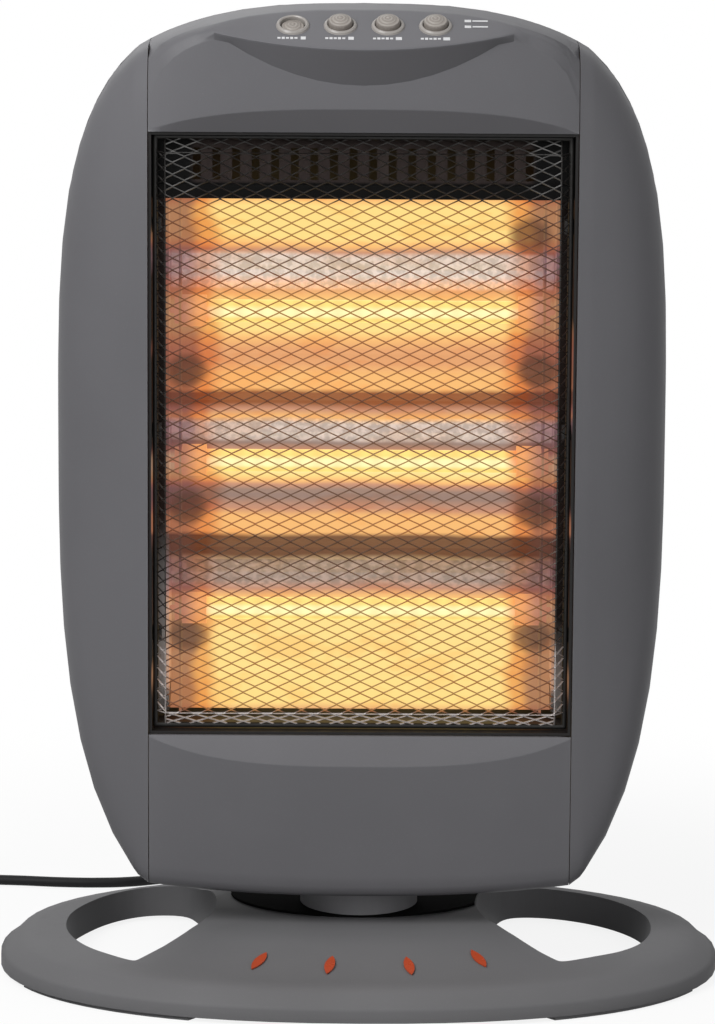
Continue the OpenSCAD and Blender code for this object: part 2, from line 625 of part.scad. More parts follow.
// ---------------------------------------------------------------- buttons
module button_bezels() color("#918b86") for (k = [0:3]) on_console(k) {
    difference() {
        union() {
            rotate_extrude() polygon([[cap_d / 2 + cap_gap, 0], [bezel_d / 2, 0],
                [bezel_d / 2 - 0.4, bezel_h * 0.6], [bezel_d / 2 - 1.2, bezel_h],
                [cap_d / 2 + cap_gap + 0.5, bezel_h], [cap_d / 2 + cap_gap, bezel_h - 0.5]]);
            translate([0, 0, -4]) cylinder(d = bezel_d - 3.2, h = 4.2);
        }
        translate([0, 0, -5]) cylinder(d = cap_d + 2 * cap_gap, h = 12);
    }
}
module cap(k, lift) color("#98918c") on_console(k) translate([0, 0, lift]) {
    h = cap_h;
    rotate_extrude() polygon(concat([[0, -5], [cap_d / 2, -5]],
        [for (a = [0:9:90]) [cap_d / 2 - 2.2 + 2.2 * cos(a), h - 2.6 + 1.6 * sin(a)]],
        [[cap_d / 4, h - 0.35], [0, h]]));
    translate([0, 0, -9]) cylinder(d = 4, h = 5);
}
module button_1() cap(0, -cap_travel);
module button_2() cap(1, 0);
module button_3() cap(2, 0);
module button_4() cap(3, 0);

module switch_block() color("#2d2d30") for (k = [0:3]) on_console(k)
    translate([0, 0, -21]) difference() {
        translate([-9, -8, 0]) cube([18, 16, 21 - wall - 0.4]);
        translate([0, 0, 5]) cylinder(d = 4.6, h = 20);
        translate([0, 0, 9.5]) cylinder(d = cap_d + 0.8, h = 20);
        translate([0, 0, 16.5]) cylinder(d = bezel_d - 2.4, h = 20);
    }

// ---------------------------------------------------------------- inside the head
rail_t = 1.2;
rail_x = refl_x + 0.3;
rail_y = frame_y + frame_d + 0.3;
rail_l = 40;
shield_y = rail_y + rail_l + 0.3;
shield_t = 0.8;
module chassis_rails() color("#a8a8a8") head() for (s = [-1, 1]) mirror([s < 0 ? 1 : 0, 0, 0]) {
    translate([rail_x, rail_y, refl_z0]) cube([rail_t, rail_l, refl_z1 - refl_z0]);
    translate([rail_x, rail_y, refl_z0]) cube([fx - rail_x, rail_t, refl_z1 - refl_z0]);
    translate([rail_x - 13, rail_y + rail_l - rail_t, refl_z0])
        cube([14, rail_t, refl_z1 - refl_z0]);
    for (z = [open_z0 + 38.5, open_z1 - 60.5]) translate([refl_x - 19, shield_y + shield_t, z])
        rotate([-90, 0, 0])
        cylinder(d = 9, h = rear_d - 3 - shield_y - shield_t);
}
module heat_shield() color("#b8b8b8") head() translate([-refl_x + 2, shield_y, refl_z0 + 12])
    cube([2 * refl_x - 4, shield_t, vent_z0 + 0.7 * vent_h - refl_z0 - 12]);
module thermal_cutout() color("#8a6a3c") head() translate([50, shield_y + shield_t, mid_z + 44])
    rotate([-90, 0, 0]) {
    cylinder(d = 16, h = 8);
    translate([-12, -4, 0]) cube([24, 8, 1]);
}
module terminal_block() color("#e4ddcb") head()
    translate([-60, shield_y + shield_t, mid_z - 76]) difference() {
    cube([42, 12, 16]);
    for (k = [0:3]) translate([6 + 10 * k, 13, 8]) rotate([90, 0, 0]) cylinder(d = 4.5, h = 6);
}

// ---------------------------------------------------------------- base
base_pts = 64;
function base_pt(a, f, n) = [base_x * f * sgn(cos(a)) * pow(abs(cos(a)), 2 / n),
    base_y * f * sgn(sin(a)) * pow(abs(sin(a)), 2 / n)];
// Height of the outer surface over the fraction f of the outline
crown = [[0, bridge_z], [0.43, bridge_z], [0.53, bridge_z - 2.6], [0.66, bridge_z - 7.4],
    [0.78, ring_z + 0.6], [0.85, ring_z], [0.9, ring_z - 0.8], [0.95, ring_z - 2.8],
    [0.985, rim_z + 1.5], [1, rim_z]];
crown_f = [0.985, 0.95, 0.9, 0.85, 0.78, 0.66, 0.53, 0.43];
base_z0 = foot_h;
function base_ring(f, z) = [for (k = [0:base_pts - 1]) let (p = base_pt(360 * k / base_pts, f,
    base_n)) [p[0], p[1], z]];
function seat_ring(r, z) = [for (k = [0:base_pts - 1]) let (q = base_pt(360 * k / base_pts, 1,
    base_n), a = atan2(q[1], q[0])) [r * cos(a), pivot_y + r * sin(a), z]];
function gauge(x, y) = pow(pow(abs(x / base_x), base_n) + pow(abs(y / base_y), base_n),
    1 / base_n);
function under(f) = f > 0.96 ? f - base_wall / base_x * 1.6 : f - 0.006;

// Outline of a hole in the base, as [x, y] from the middle of the bridge
hole_pts = [[98, 86], [113, 84.5], [128, 76.5], [141, 64], [151, 48], [157.5, 32], [160, 17],
    [160, 0], [157, -16.5], [151, -32], [142.5, -44.5], [132, -54.5], [121.5, -63.5],
    [114, -68.5], [111, -66.5], [99, -54], [85.5, -38], [75, -20], [70.5, 3], [72, 27],
    [77, 49], [83, 69], [88.5, 82]];
function mid_pt(a, b) = (a + b) / 2;
// Corner cutting, twice, rounds a closed outline
function cut(l) = flat([for (i = [0:len(l) - 1]) let (a = l[i], b = l[(i + 1) % len(l)])
    [a * 0.75 + b * 0.25, a * 0.25 + b * 0.75]]);
// The bridge's side of a hole moves with the bridge, the ring's side stays
function hole_at(s) = cut(cut([for (p = hole_pts)
    [p[0] + s * bridge_off * max(0, min(1, (150 - p[0]) / 40)), p[1]]]));
function grown(l, d) = [for (i = [0:len(l) - 1]) let (
    t = unit(l[(i + 1) % len(l)] - l[(i + len(l) - 1) % len(l)])) l[i] + d * [-t[1], t[0]]];
module hole_2d(d) {
    polygon(grown(hole_at(1), d));
    mirror([1, 0]) polygon(grown(hole_at(-1), d));
}
// Solid under the middle of the crown's wall, which trims the walls round the holes
module core() {
    h = base_wall / 2;
    rings = concat([base_ring(1 - h / base_y, base_z0)],
        [for (f = concat([1 - h / base_y], [for (f = crown_f) if (f < 0.98) f]))
            base_ring(f, lookup(f, crown) - h)]);
    k = len(rings);
    n = base_pts;
    pts = concat(flat(rings), [[0, 0, base_z0], [0, 0, rings[k - 1][0][2]]]);
    polyhedron(pts, concat(flat([for (r = [0:k - 2]) for (c = [0:n - 1])
        quad(r * n + c, r * n + (c + 1) % n, (r + 1) * n + (c + 1) % n, (r + 1) * n + c)]),
        [for (c = [0:n - 1]) [k * n, c, (c + 1) % n]],
        [for (c = [0:n - 1]) [k * n + 1, (k - 1) * n + (c + 1) % n, (k - 1) * n + c]]));
}
module base_shell() color("#66676c") difference() {
    union() {
        loop_loft(concat(
            [base_ring(1, base_z0), base_ring(1, rim_z)],
            [for (f = crown_f) base_ring(f, lookup(f, crown))],
            [seat_ring(seat_r, bridge_z), seat_ring(journal_r + 4, bridge_z),
                seat_ring(journal_r + 4, bridge_z - base_wall),
                seat_ring(seat_r, bridge_z - base_wall)],
            [for (k = [len(crown_f) - 1:-1:1]) base_ring(under(crown_f[k]),
                lookup(crown_f[k], crown) - base_wall)],
            [base_ring(1 - 1.5 * base_wall / base_y, rim_z - 1),
                base_ring(1 - 1.5 * base_wall / base_y, base_z0)]));
        intersection() {
            core();
            translate([0, 0, base_z0]) linear_extrude(30) difference() {
                hole_2d(base_wall);
                hole_2d(-1);
            }
        }
    }
    translate([0, 0, -1]) linear_extrude(60) hole_2d(0);
    translate([gland_x, gland_y - 8, gland_z]) rotate([-90, 0, 0]) cylinder(d = 13, h = 30);
}

cover_z = base_z0 + 0.2;
floor_z = cover_z + cover_t;
gland_x = -70;
gland_y = 113;
gland_z = 7.5;
tip_at = [-56, 64];
cover_screws = [[-80, -88], [80, -88], [-64, 88], [64, 88], [0, -98], [-177, 0], [177, 0]];
module base_cover() color("#2c2c2e") difference() {
    translate([0, 0, cover_z]) linear_extrude(cover_t) difference() {
        polygon([for (k = [0:base_pts - 1]) base_pt(360 * k / base_pts,
            1 - 1.5 * base_wall / base_y - 0.003, base_n)]);
        hole_2d(base_wall + 0.3);
        translate([gland_x - 7.5, gland_y - 4]) square([15, 20]);
        translate(tip_at) circle(d = 5.6);
        for (x = [-24:8:24]) translate([x, -20]) square([3, 26], center = true);
    }
    for (p = cover_screws) translate([p[0], p[1], 0]) cylinder(d = 3.4, h = 20);
}
module base_screws() color("silver") for (p = cover_screws) translate([p[0], p[1], cover_z]) {
    translate([0, 0, -1.2]) cylinder(d = 6.4, h = 1.1);
    translate([0, 0, -0.2]) cylinder(d = 3.2, h = 6);
}

// Black deck on the bridge that the collar turns over
deck_z = bridge_z + deck_t;
module swivel_deck() color("#222223") translate([0, 0, bridge_z]) linear_extrude(deck_t)
    difference() {
        intersection() {
            translate([0, pivot_y + 18]) scale([71 / 50, 1]) circle(r = collar_r + 17.5);
            translate([-base_x, pivot_y - 50]) square([2 * base_x, 50 + collar_r]);
        }
        translate([0, pivot_y]) circle(r = journal_r + 1);
        hole_2d(1);
    }

// Rubber strips under the rim
module foot_strips() color("#232324") for (q = [[22, 67], [113, 158], [202, 245], [300, 338]])
    linear_extrude(foot_h) polygon(concat(
        [for (k = [0:12]) base_pt(q[0] + (q[1] - q[0]) * k / 12, 0.985, base_n)],
        [for (k = [12:-1:0]) base_pt(q[0] + (q[1] - q[0]) * k / 12, 0.945, base_n)]));

// Leaf-shaped inserts round the front of the collar: place and turn of each
leaf_at = [[-52.7, -80, -24], [-15.2, -86, -9], [26.8, -86, 9], [63.8, -74.6, 24]];
module leaf(l, w) {
    r = (l * l / 4 + w * w / 4) / w;
    intersection() {
        translate([r - w / 2, 0]) circle(r = r);
        translate([w / 2 - r, 0]) circle(r = r);
    }
}
function crown_at(x, y) = lookup(gauge(x, y), crown);
module base_inserts() color("#c8552d") for (p = leaf_at) {
    g = leaf_l / 3;
    dx = crown_at(p[0] + g, p[1]) - crown_at(p[0] - g, p[1]);
    dy = crown_at(p[0], p[1] + g) - crown_at(p[0], p[1] - g);
    translate([p[0], p[1], crown_at(p[0], p[1])]) rotate([atan(dy / (2 * g)), 0, 0])
        rotate([0, -atan(dx / (2 * g)), 0]) rotate(p[2]) translate([0, 0, leaf_up])
            linear_extrude(0.7) leaf(leaf_l, leaf_w);
}
ballast = [140, 34, 5];
ballast_y = -88;
module ballast_plate() color("#77716a") translate([-ballast[0] / 2, ballast_y, floor_z])
    cube(ballast);

motor_y = pivot_y + crank_off;
shaft_d = 6;
crank_z = floor_z + motor_h + 1;
crank_t = 2.2;
yoke_z = crank_z + crank_t + 1.2;
yoke_t = 2.6;
plate_t = 2.6;
plate_z = bridge_z - base_wall - deck_gap - plate_t;
module swing_motor() color("#c7c4be") translate([0, motor_y, floor_z]) {
    cylinder(d = motor_d, h = motor_h);
    cylinder(d = shaft_d, h = crank_z + crank_t - floor_z);
    for (s = [-1, 1]) translate([s * (motor_d / 2 + 3), 0, 0]) cylinder(d = 9, h = 1.5);
}
module crank_disc() color("#e9e4d8") translate([0, motor_y, crank_z]) {
    difference() {
        cylinder(r = crank_r + pin_d / 2 + 1.5, h = crank_t);
        translate([0, 0, -1]) cylinder(d = shaft_d + 0.1, h = crank_t + 2);
    }
    translate([0, crank_r, crank_t - 0.2]) cylinder(d = pin_d, h = yoke_t + 1.6);
}
screw_r = 20;
module yoke_plate() color("#b4b4b6") head() difference() {
    union() {
        translate([0, 0, plate_z]) cylinder(r = collar_r + 4, h = plate_t);
        translate([-9, 9, yoke_z]) cube([18, 13, plate_z - yoke_z + 0.5]);
        translate([-9, 9, yoke_z]) cube([18, crank_off + crank_r + 3, yoke_t]);
    }
    w = pin_d / 2 + pin_gap;
    translate([-w, 26, yoke_z - 1]) cube([2 * w, crank_off + crank_r - 26 + 5.5, yoke_t + 2]);
    translate([0, 0, plate_z - 1]) cylinder(d = 16, h = plate_t + 2);
    for (a = [0:90:270]) rotate(a + 45) translate([screw_r, 0, yoke_z - 1])
        cylinder(d = 4.3, h = 20);
}
module turntable_collar() color("#5e5f63") head() difference() {
    union() {
        translate([0, 0, deck_z + deck_gap]) cylinder(r = collar_r,
            h = under_z - deck_z - 2 * deck_gap);
        translate([0, 0, plate_z + plate_t]) cylinder(r = journal_r,
            h = deck_z - plate_z - plate_t + 1);
        translate([0, 0, under_z - 1]) cylinder(r = collar_r - 4.4, h = 12);
    }
    translate([0, 0, plate_z]) cylinder(d = 14, h = 60);
    for (a = [0:90:270]) rotate(a + 45) translate([screw_r, 0, plate_z]) cylinder(d = 4.1, h = 16);
}
module bearing_ring() color("#d8d4ca") head() translate([0, 0, bridge_z - base_wall])
    difference() {
        cylinder(r = journal_r + 3.6, h = base_wall);
        translate([0, 0, -1]) cylinder(r = journal_r + journal_gap, h = base_wall + 2);
    }
module collar_screws() color("silver") head() for (a = [0:90:270]) rotate(a + 45)
    translate([screw_r, 0, plate_z]) {
        translate([0, 0, -1.5]) cylinder(d = 7, h = 1.5);
        cylinder(d = 4, h = 15);
    }

// Switch that opens when the heater tips over, with its sprung plunger
module tip_switch() color("#2a2a2c") translate([tip_at[0], tip_at[1], floor_z]) difference() {
    translate([-10, -7, 0]) cube([20, 14, 12]);
    translate([0, 0, -1]) cylinder(d = 5.6, h = 11);
    translate([0, 0, 1]) cylinder(d = 9, h = 5.6);
}
module tip_plunger() color("#d9d6cf") translate([tip_at[0], tip_at[1], 0]) {
    translate([0, 0, 0.3]) cylinder(d = 5, h = floor_z + 8);
    translate([0, 0, floor_z + 4.9]) cylinder(d = 8.4, h = 1.4);
}
module base_terminal() color("#e4ddcb") translate([-14, 82, floor_z]) difference() {
    cube([28, 12, 9]);
    for (k = [0:2]) translate([5 + 9 * k, 6, 5]) cylinder(d = 4, h = 6);
}

// ---------------------------------------------------------------- cord
coil_turns = 6;
coil_x = -264;
coil_out = coil_r0 + coil_step * coil_turns / 2;
cord_y = 159;
cord_z = 3;
gland_l = 24;
gland_end = gland_y + gland_l;
route = [[-70, 137, 7.5], [-70.4, 145.4, 7.3], [-73.2, 153.3, 6.8], [-78.3, 159.9, 5.9],
    [-85.1, 164.7, 4.9], [-93.1, 167.2, 4], [-101.5, 167.1, 3.3], [-109.5, 164.5, 3],
    [-117.2, 161.3, 3], [-125, 158, 3], [-133, 155.6, 3], [-141.3, 154.1, 3],
    [-149.6, 153.6, 3], [-158, 153.4, 3], [-175, 154.5, 3], [-192, 157, 3],
    [-210, 158.6, 3], [-228, 159, 3], [-244, 159, 3], [-258, 159, 3]];
tail = [[-270, 159, 9.4], [-277, 159, 9.2], [-289, 158, 7], [-301, 157, 4.2],
    [-315, 156.4, 3.1], [-329, 156.4, 5], [-341, 157, 8], [-348, 157, 9.6], [-354, 157, 10]];
// Smooth curve through the points
function spline(p, m) = concat(flat([for (i = [0:len(p) - 2]) let (
    a = p[max(i - 1, 0)], b = p[i], c = p[i + 1], d = p[min(i + 2, len(p) - 1)])
    [for (j = [0:m - 1]) let (t = j / m) 0.5 * (2 * b + (c - a) * t
        + (2 * a - 5 * b + 4 * c - d) * t * t + (3 * b - a - 3 * c + d) * t * t * t)]]),
    [p[len(p) - 1]]);
module cord_gland() color("#1d1d1e") translate([gland_x, gland_y, gland_z])
    rotate([-90, 0, 0]) {
        cylinder(d = 12.6, h = 9);
        translate([0, 0, 9]) cylinder(d1 = 10.4, d2 = cord_d + 1.6, h = gland_l - 9);
    }
module mains_cord() color("#1a1a1b") sweep(spline(route, 2), cord_d / 2, 8);
function coil_r(u) = coil_r0 + coil_step * sqrt(pow(u - coil_turns / 2, 2) + 0.0064);
function climb(t) = t < 0 ? 0 : t > 1 ? 1 : t * t * (3 - 2 * t);
function coil_pt(u) = let (a = -90 - 360 * u, r = coil_r(u)) [coil_x + r * cos(a),
    cord_y + coil_out + r * sin(a),
    cord_z + coil_step * climb((u - coil_turns / 2 + 0.25) / 0.5)];
coil_path = concat([[coil_x + cord_d, cord_y, cord_z]],
    [for (i = [1:24 * coil_turns - 1]) coil_pt(i / 24)],
    [[coil_x - cord_d, cord_y, cord_z + coil_step]]);
module cord_coil() color("#1a1a1b") {
    n = len(coil_path);
    gaps = [for (i = [0:n - 1]) for (j = [i + 8:1:n - 1]) norm(coil_path[i] - coil_path[j])];
    echo(coil_least_gap = min(gaps) - cord_d);
    sweep(coil_path, cord_d / 2, 6);
}
module cord_tail() color("#1a1a1b") sweep(spline(tail, 2), cord_d / 2, 8);
plug_x = -354;
plug_y = 157;
plug_z = 10;
pin_pitch = 19;
module plug_body() color("#1d1d1e") translate([plug_x, plug_y, plug_z]) rotate([0, -90, 0]) {
    cylinder(d1 = cord_d + 1.6, d2 = 12, h = 20);
    translate([0, 0, 18]) {
        for (s = [-1, 1]) translate([0, s * 8, 0]) cylinder(d = 19, h = 20);
        translate([-9.5, -8, 0]) cube([19, 16, 20]);
    }
}
module plug_pins() color("#c9c4b4") translate([plug_x - 38, plug_y, plug_z])
    for (s = [-1, 1]) translate([0, s * pin_pitch / 2, 0]) rotate([0, -90, 0]) {
        cylinder(d = 4.8, h = 18);
        translate([0, 0, 18]) sphere(d = 4.8);
    }

base_shell();
base_cover();
foot_strips();
base_inserts();
ballast_plate();
base_screws();
swivel_deck();
swing_motor();
crank_disc();
tip_switch();
tip_plunger();
base_terminal();
cord_gland();
mains_cord();
cord_coil();
cord_tail();
plug_body();
plug_pins();
turntable_collar();
bearing_ring();
yoke_plate();
collar_screws();
bottom_panel();
top_panel();
left_wing();
right_wing();
rear_shell();
rear_panel();
carry_handle();
shell_screws();
inner_frame();
vent_grille();
reflector();
lamp_brackets();
quartz_tubes();
heating_wires();
end_caps();
lamp_leads();
wire_guard();
guard_rim();
guard_clips();
button_bezels();
button_1();
button_2();
button_3();
button_4();
switch_block();
thermal_cutout();
terminal_block();
chassis_rails();
heat_shield();
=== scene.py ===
"""Looks of an upright quartz tube heater with a swivel base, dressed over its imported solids."""
import json
import math

import bpy
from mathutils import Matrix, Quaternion, Vector

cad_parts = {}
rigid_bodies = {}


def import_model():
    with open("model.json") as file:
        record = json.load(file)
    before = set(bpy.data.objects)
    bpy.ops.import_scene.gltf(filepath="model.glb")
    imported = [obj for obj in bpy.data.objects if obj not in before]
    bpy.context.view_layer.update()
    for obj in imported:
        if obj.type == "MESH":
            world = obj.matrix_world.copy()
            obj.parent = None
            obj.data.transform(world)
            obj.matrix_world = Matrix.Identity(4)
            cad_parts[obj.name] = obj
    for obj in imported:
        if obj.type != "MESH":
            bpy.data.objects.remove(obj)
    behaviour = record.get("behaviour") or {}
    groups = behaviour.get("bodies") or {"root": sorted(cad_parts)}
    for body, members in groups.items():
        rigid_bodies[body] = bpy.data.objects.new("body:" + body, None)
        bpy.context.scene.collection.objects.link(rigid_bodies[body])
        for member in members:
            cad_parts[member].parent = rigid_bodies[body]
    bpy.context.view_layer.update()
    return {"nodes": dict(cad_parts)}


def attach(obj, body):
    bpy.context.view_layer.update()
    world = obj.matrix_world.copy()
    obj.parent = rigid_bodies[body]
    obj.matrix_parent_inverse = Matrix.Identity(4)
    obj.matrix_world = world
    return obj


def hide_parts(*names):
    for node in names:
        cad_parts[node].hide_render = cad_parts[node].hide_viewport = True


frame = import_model()

# Places of the heater's own parts, in metres
AXIS_Y = 0.012
TUBE_Y, TUBE_Z = AXIS_Y - 0.014, (0.1985, 0.2795, 0.3605)
LIP_Y, LIP_Z, SLOPE = AXIS_Y - 0.069, 0.5065, math.radians(28)
BUTTON_UP, BUTTON_PITCH, BUTTONS = 0.021, 0.0248, 4
BASE_X, BASE_Y, BASE_POWER = 0.195, 0.124, 2.25
GLAND, BOOT_LONG, PLUG = (-0.070, 0.113, 0.0075), 0.024, (-0.354, 0.157, 0.010)
# The guard's net: its front face and the fold round it, and the rim wire it is folded to
NET_Y, NET_X, NET_LOW, NET_TOP = AXIS_Y - 0.0472, 0.1040, 0.1480, 0.4490
RIM_Y, RIM_X, RIM_TOP = AXIS_Y - 0.0404, 0.1090, 0.4564
# Edges of the reflector's light, and the side wall of the black frame
LIT_X, LIT_LOW, LIT_TOP, FRAME_X = 0.1052, 0.150, 0.426, 0.1105

# ------------------------------------------------------------------ camera
SENSOR, LENS, FAR = 36.0, 182.5, 2.8
TILT, ROLL = math.radians(11.0), math.radians(0.35)
AIM = Vector((-0.00196, 0.009, 0.2494))


def photo_camera():
    """The camera of the photograph: far off, a little above, hardly rolled."""
    lens = bpy.data.cameras.new("photo_camera")
    lens.sensor_width, lens.lens, lens.clip_end = SENSOR, LENS, 50
    camera = bpy.data.objects.new("photo_camera", lens)
    bpy.context.scene.collection.objects.link(camera)
    camera.location = AIM + FAR * Vector((0, -math.cos(TILT), math.sin(TILT)))
    camera.rotation_mode = "QUATERNION"
    camera.rotation_quaternion = (AIM - camera.location).to_track_quat("-Z", "Y") \
        @ Quaternion((0, 0, 1), ROLL)
    bpy.context.scene.camera = camera


photo_camera()


# ------------------------------------------------------------------ modelling by hand
def nothing_selected():
    """Object mode with no piece selected."""
    if bpy.context.object and bpy.context.object.mode != "OBJECT":
        bpy.ops.object.mode_set(mode="OBJECT")
    bpy.ops.object.select_all(action="DESELECT")


def only(obj):
    """The one piece that is selected and worked on."""
    nothing_selected()
    bpy.context.view_layer.objects.active = obj
    obj.select_set(True)


def shaping(obj):
    """Edit mode with nothing of the piece selected."""
    only(obj)
    bpy.ops.object.mode_set(mode="EDIT")
    bpy.ops.mesh.select_mode(type="VERT")
    bpy.ops.mesh.select_all(action="DESELECT")


def pick(obj, points=None, faces=None):
    """Selects the points or faces that pass a test on their place, in edit mode after."""
    bpy.ops.mesh.select_mode(type="FACE" if faces else "VERT")
    bpy.ops.mesh.select_all(action="DESELECT")
    bpy.ops.object.mode_set(mode="OBJECT")
    if faces:
        for face in obj.data.polygons:
            face.select = faces(obj.matrix_world @ face.center, face.normal)
    else:
        for point in obj.data.vertices:
            point.select = points(obj.matrix_world @ point.co)
    bpy.ops.object.mode_set(mode="EDIT")


def keep_modifiers(obj):
    """The piece's modifiers become part of its mesh."""
    only(obj)
    for mod in list(obj.modifiers):
        bpy.ops.object.modifier_apply(modifier=mod.name)
    nothing_selected()


def finished(obj, name, body, smooth=None):
    """A finished piece: its place baked in its mesh, its edges shaded, riding on its body."""
    only(obj)
    bpy.ops.object.transform_apply(location=True, rotation=True, scale=True)
    if smooth:
        bpy.ops.object.shade_smooth_by_angle(angle=math.radians(smooth))
    obj.name = obj.data.name = name
    nothing_selected()
    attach(obj, body)
    return obj


def joined(pieces):
    """Several pieces as one."""
    nothing_selected()
    for piece in pieces:
        piece.select_set(True)
    bpy.context.view_layer.objects.active = pieces[0]
    bpy.ops.object.join()
    return bpy.context.object


# ------------------------------------------------------------------ mains lead
CORD_R = 0.0029
# Points along the lead in millimetres, as its solids have them
ROUTE = [(-70, 137, 7.5), (-70.4, 145.4, 7.3), (-73.2, 153.3, 6.8), (-78.3, 159.9, 5.9),
         (-85.1, 164.7, 4.9), (-93.1, 167.2, 4), (-101.5, 167.1, 3.3), (-109.5, 164.5, 3),
         (-117.2, 161.3, 3), (-125, 158, 3), (-133, 155.6, 3), (-141.3, 154.1, 3),
         (-149.6, 153.6, 3), (-158, 153.4, 3), (-175, 154.5, 3), (-192, 157, 3),
         (-210, 158.6, 3), (-228, 159, 3), (-244, 159, 3), (-258, 159, 3)]
TAIL = [(-270, 159, 9.4), (-277, 159, 9.2), (-289, 158, 7), (-301, 157, 4.2),
        (-315, 156.4, 3.1), (-329, 156.4, 5), (-341, 157, 8), (-348, 157, 9.6), (-354, 157, 10)]
TURNS, PARTS, INNER, STEP, COIL_X, CORD_Y, CORD_Z = 6, 24, 24.0, 6.4, -264.0, 159.0, 3


def through(points, parts):
    """Smooth curve through the points."""
    out = []
    for i in range(len(points) - 1):
        a, b = Vector(points[max(i - 1, 0)]), Vector(points[i])
        c, d = Vector(points[i + 1]), Vector(points[min(i + 2, len(points) - 1)])
        for j in range(parts):
            t = j / parts
            out.append(0.5 * (2 * b + (c - a) * t + (2 * a - 5 * b + 4 * c - d) * t * t
                              + (3 * b - a - 3 * c + d) * t ** 3))
    return out + [Vector(points[-1])]


def coil_point(turn):
    """A point of the coil: inwards for half its turns, then one layer up and outwards."""
    angle = math.radians(-90 - 360 * turn)
    r = INNER + STEP * math.sqrt((turn - TURNS / 2) ** 2 + 0.0064)
    t = min(max((turn - TURNS / 2 + 0.25) / 0.5, 0), 1)
    outer = INNER + STEP * TURNS / 2
    return Vector((COIL_X + r * math.cos(angle), CORD_Y + outer + r * math.sin(angle),
                   CORD_Z + STEP * t * t * (3 - 2 * t)))


def mains_lead():
    """The lead from its boot to its plug, and its length in metres."""
    turns = [coil_point(k / PARTS) for k in range(1, PARTS * TURNS)]
    line = through(ROUTE, 2) + turns + through(TAIL, 2)
    curve = bpy.data.curves.new("mains_lead", "CURVE")
    curve.dimensions = "3D"
    spline = curve.splines.new("POLY")
    spline.points.add(len(line) - 1)
    for point, place in zip(spline.points, line):
        point.co, point.radius = (*(place / 1000), 1.0), CORD_R
    curve.bevel_depth, curve.bevel_resolution, curve.use_fill_caps = 1.0, 4, True
    lead = bpy.data.objects.new("mains_lead", curve)
    bpy.context.scene.collection.objects.link(lead)
    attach(lead, "base")
    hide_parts("mains_cord", "cord_coil", "cord_tail")
    long = sum((b - a).length for a, b in zip(line, line[1:])) / 1000
    return lead, round(long, 3)


def ribbed_boot():
    """Strain relief: a tapered sleeve with raised ribs, seated in the base's rear rim."""
    x, y, z = GLAND
    bands, band, seat, rib, swell = 10, 0.0014, y + 0.0085, 0.0006, 0.0002
    nothing_selected()
    bpy.ops.mesh.primitive_cone_add(vertices=32, radius1=0.0063, radius2=0.0036,
                                    depth=BOOT_LONG, location=(x, y + BOOT_LONG / 2, z),
                                    rotation=(-math.pi / 2, 0, 0))
    boot = bpy.context.object
    shaping(boot)
    for k in range(bands + 1):
        bpy.ops.mesh.select_all(action="SELECT")
        bpy.ops.mesh.bisect(plane_co=(x, seat + band * k, z), plane_no=(0, 1, 0))
    pick(boot, faces=lambda c, n: seat < c.y < seat + bands * band
         and int((c.y - seat) / band) % 2 == 1 and math.hypot(c.x - x, c.z - z) > 0.001)
    bpy.ops.mesh.extrude_region_shrink_fatten(TRANSFORM_OT_shrink_fatten={"value": rib})
    pick(boot, faces=lambda c, n: c.y < seat and math.hypot(c.x - x, c.z - z) > 0.003)
    bpy.ops.mesh.extrude_region_shrink_fatten(TRANSFORM_OT_shrink_fatten={"value": swell})
    bpy.ops.object.mode_set(mode="OBJECT")
    soft = boot.modifiers.new("soft_edges", "BEVEL")
    soft.width, soft.segments, soft.limit_method = 0.00022, 2, "ANGLE"
    keep_modifiers(boot)
    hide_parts("cord_gland")
    return finished(boot, "cord_boot", "base", 40)


def moulded_plug():
    """Two-pin plug: a flat rounded body, waisted grip, tapered neck."""
    x, y, z = PLUG
    grip, slice_x, step, neck = (0.019, 0.0345, 0.0185), 0.0048, 0.006, 0.0125
    face_x = x - 0.019
    waist_x = face_x - 2 * slice_x
    nothing_selected()
    bpy.ops.mesh.primitive_cube_add(size=1.0, location=(face_x - grip[0] / 2, y, z))
    plug = bpy.context.object
    plug.scale = grip
    bpy.ops.object.transform_apply(location=False, rotation=False, scale=True)
    shaping(plug)
    for k in range(1, 4):
        bpy.ops.mesh.select_all(action="SELECT")
        bpy.ops.mesh.bisect(plane_co=(face_x - slice_x * k, y, z), plane_no=(1, 0, 0))
    pick(plug, faces=lambda c, n: n.x > 0.9)
    bpy.ops.mesh.inset(thickness=0.0035)
    bpy.ops.mesh.extrude_region_move(TRANSFORM_OT_translate={"value": (step, 0, 0)})
    bpy.ops.transform.resize(value=(1, 0.5, 0.9), center_override=(face_x + step, y, z))
    bpy.ops.mesh.extrude_region_move(TRANSFORM_OT_translate={"value": (neck, 0, 0)})
    bpy.ops.transform.resize(value=(1, 0.62, 0.78), center_override=(x, y, z))
    pick(plug, points=lambda p: abs(p.x - waist_x) < 0.0008 and abs(p.y - y) > 0.01)
    bpy.ops.transform.resize(value=(1, 0.93, 1), center_override=(waist_x, y, z))
    bpy.ops.object.mode_set(mode="OBJECT")
    round_off = plug.modifiers.new("round_off", "BEVEL")
    round_off.width, round_off.segments = 0.0026, 4
    round_off.limit_method, round_off.angle_limit = "ANGLE", math.radians(28)
    keep_modifiers(plug)
    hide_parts("plug_body")
    return finished(plug, "plug_grip", "base", 45)


lead, lead_long = mains_lead()
boot = ribbed_boot()
plug = moulded_plug()


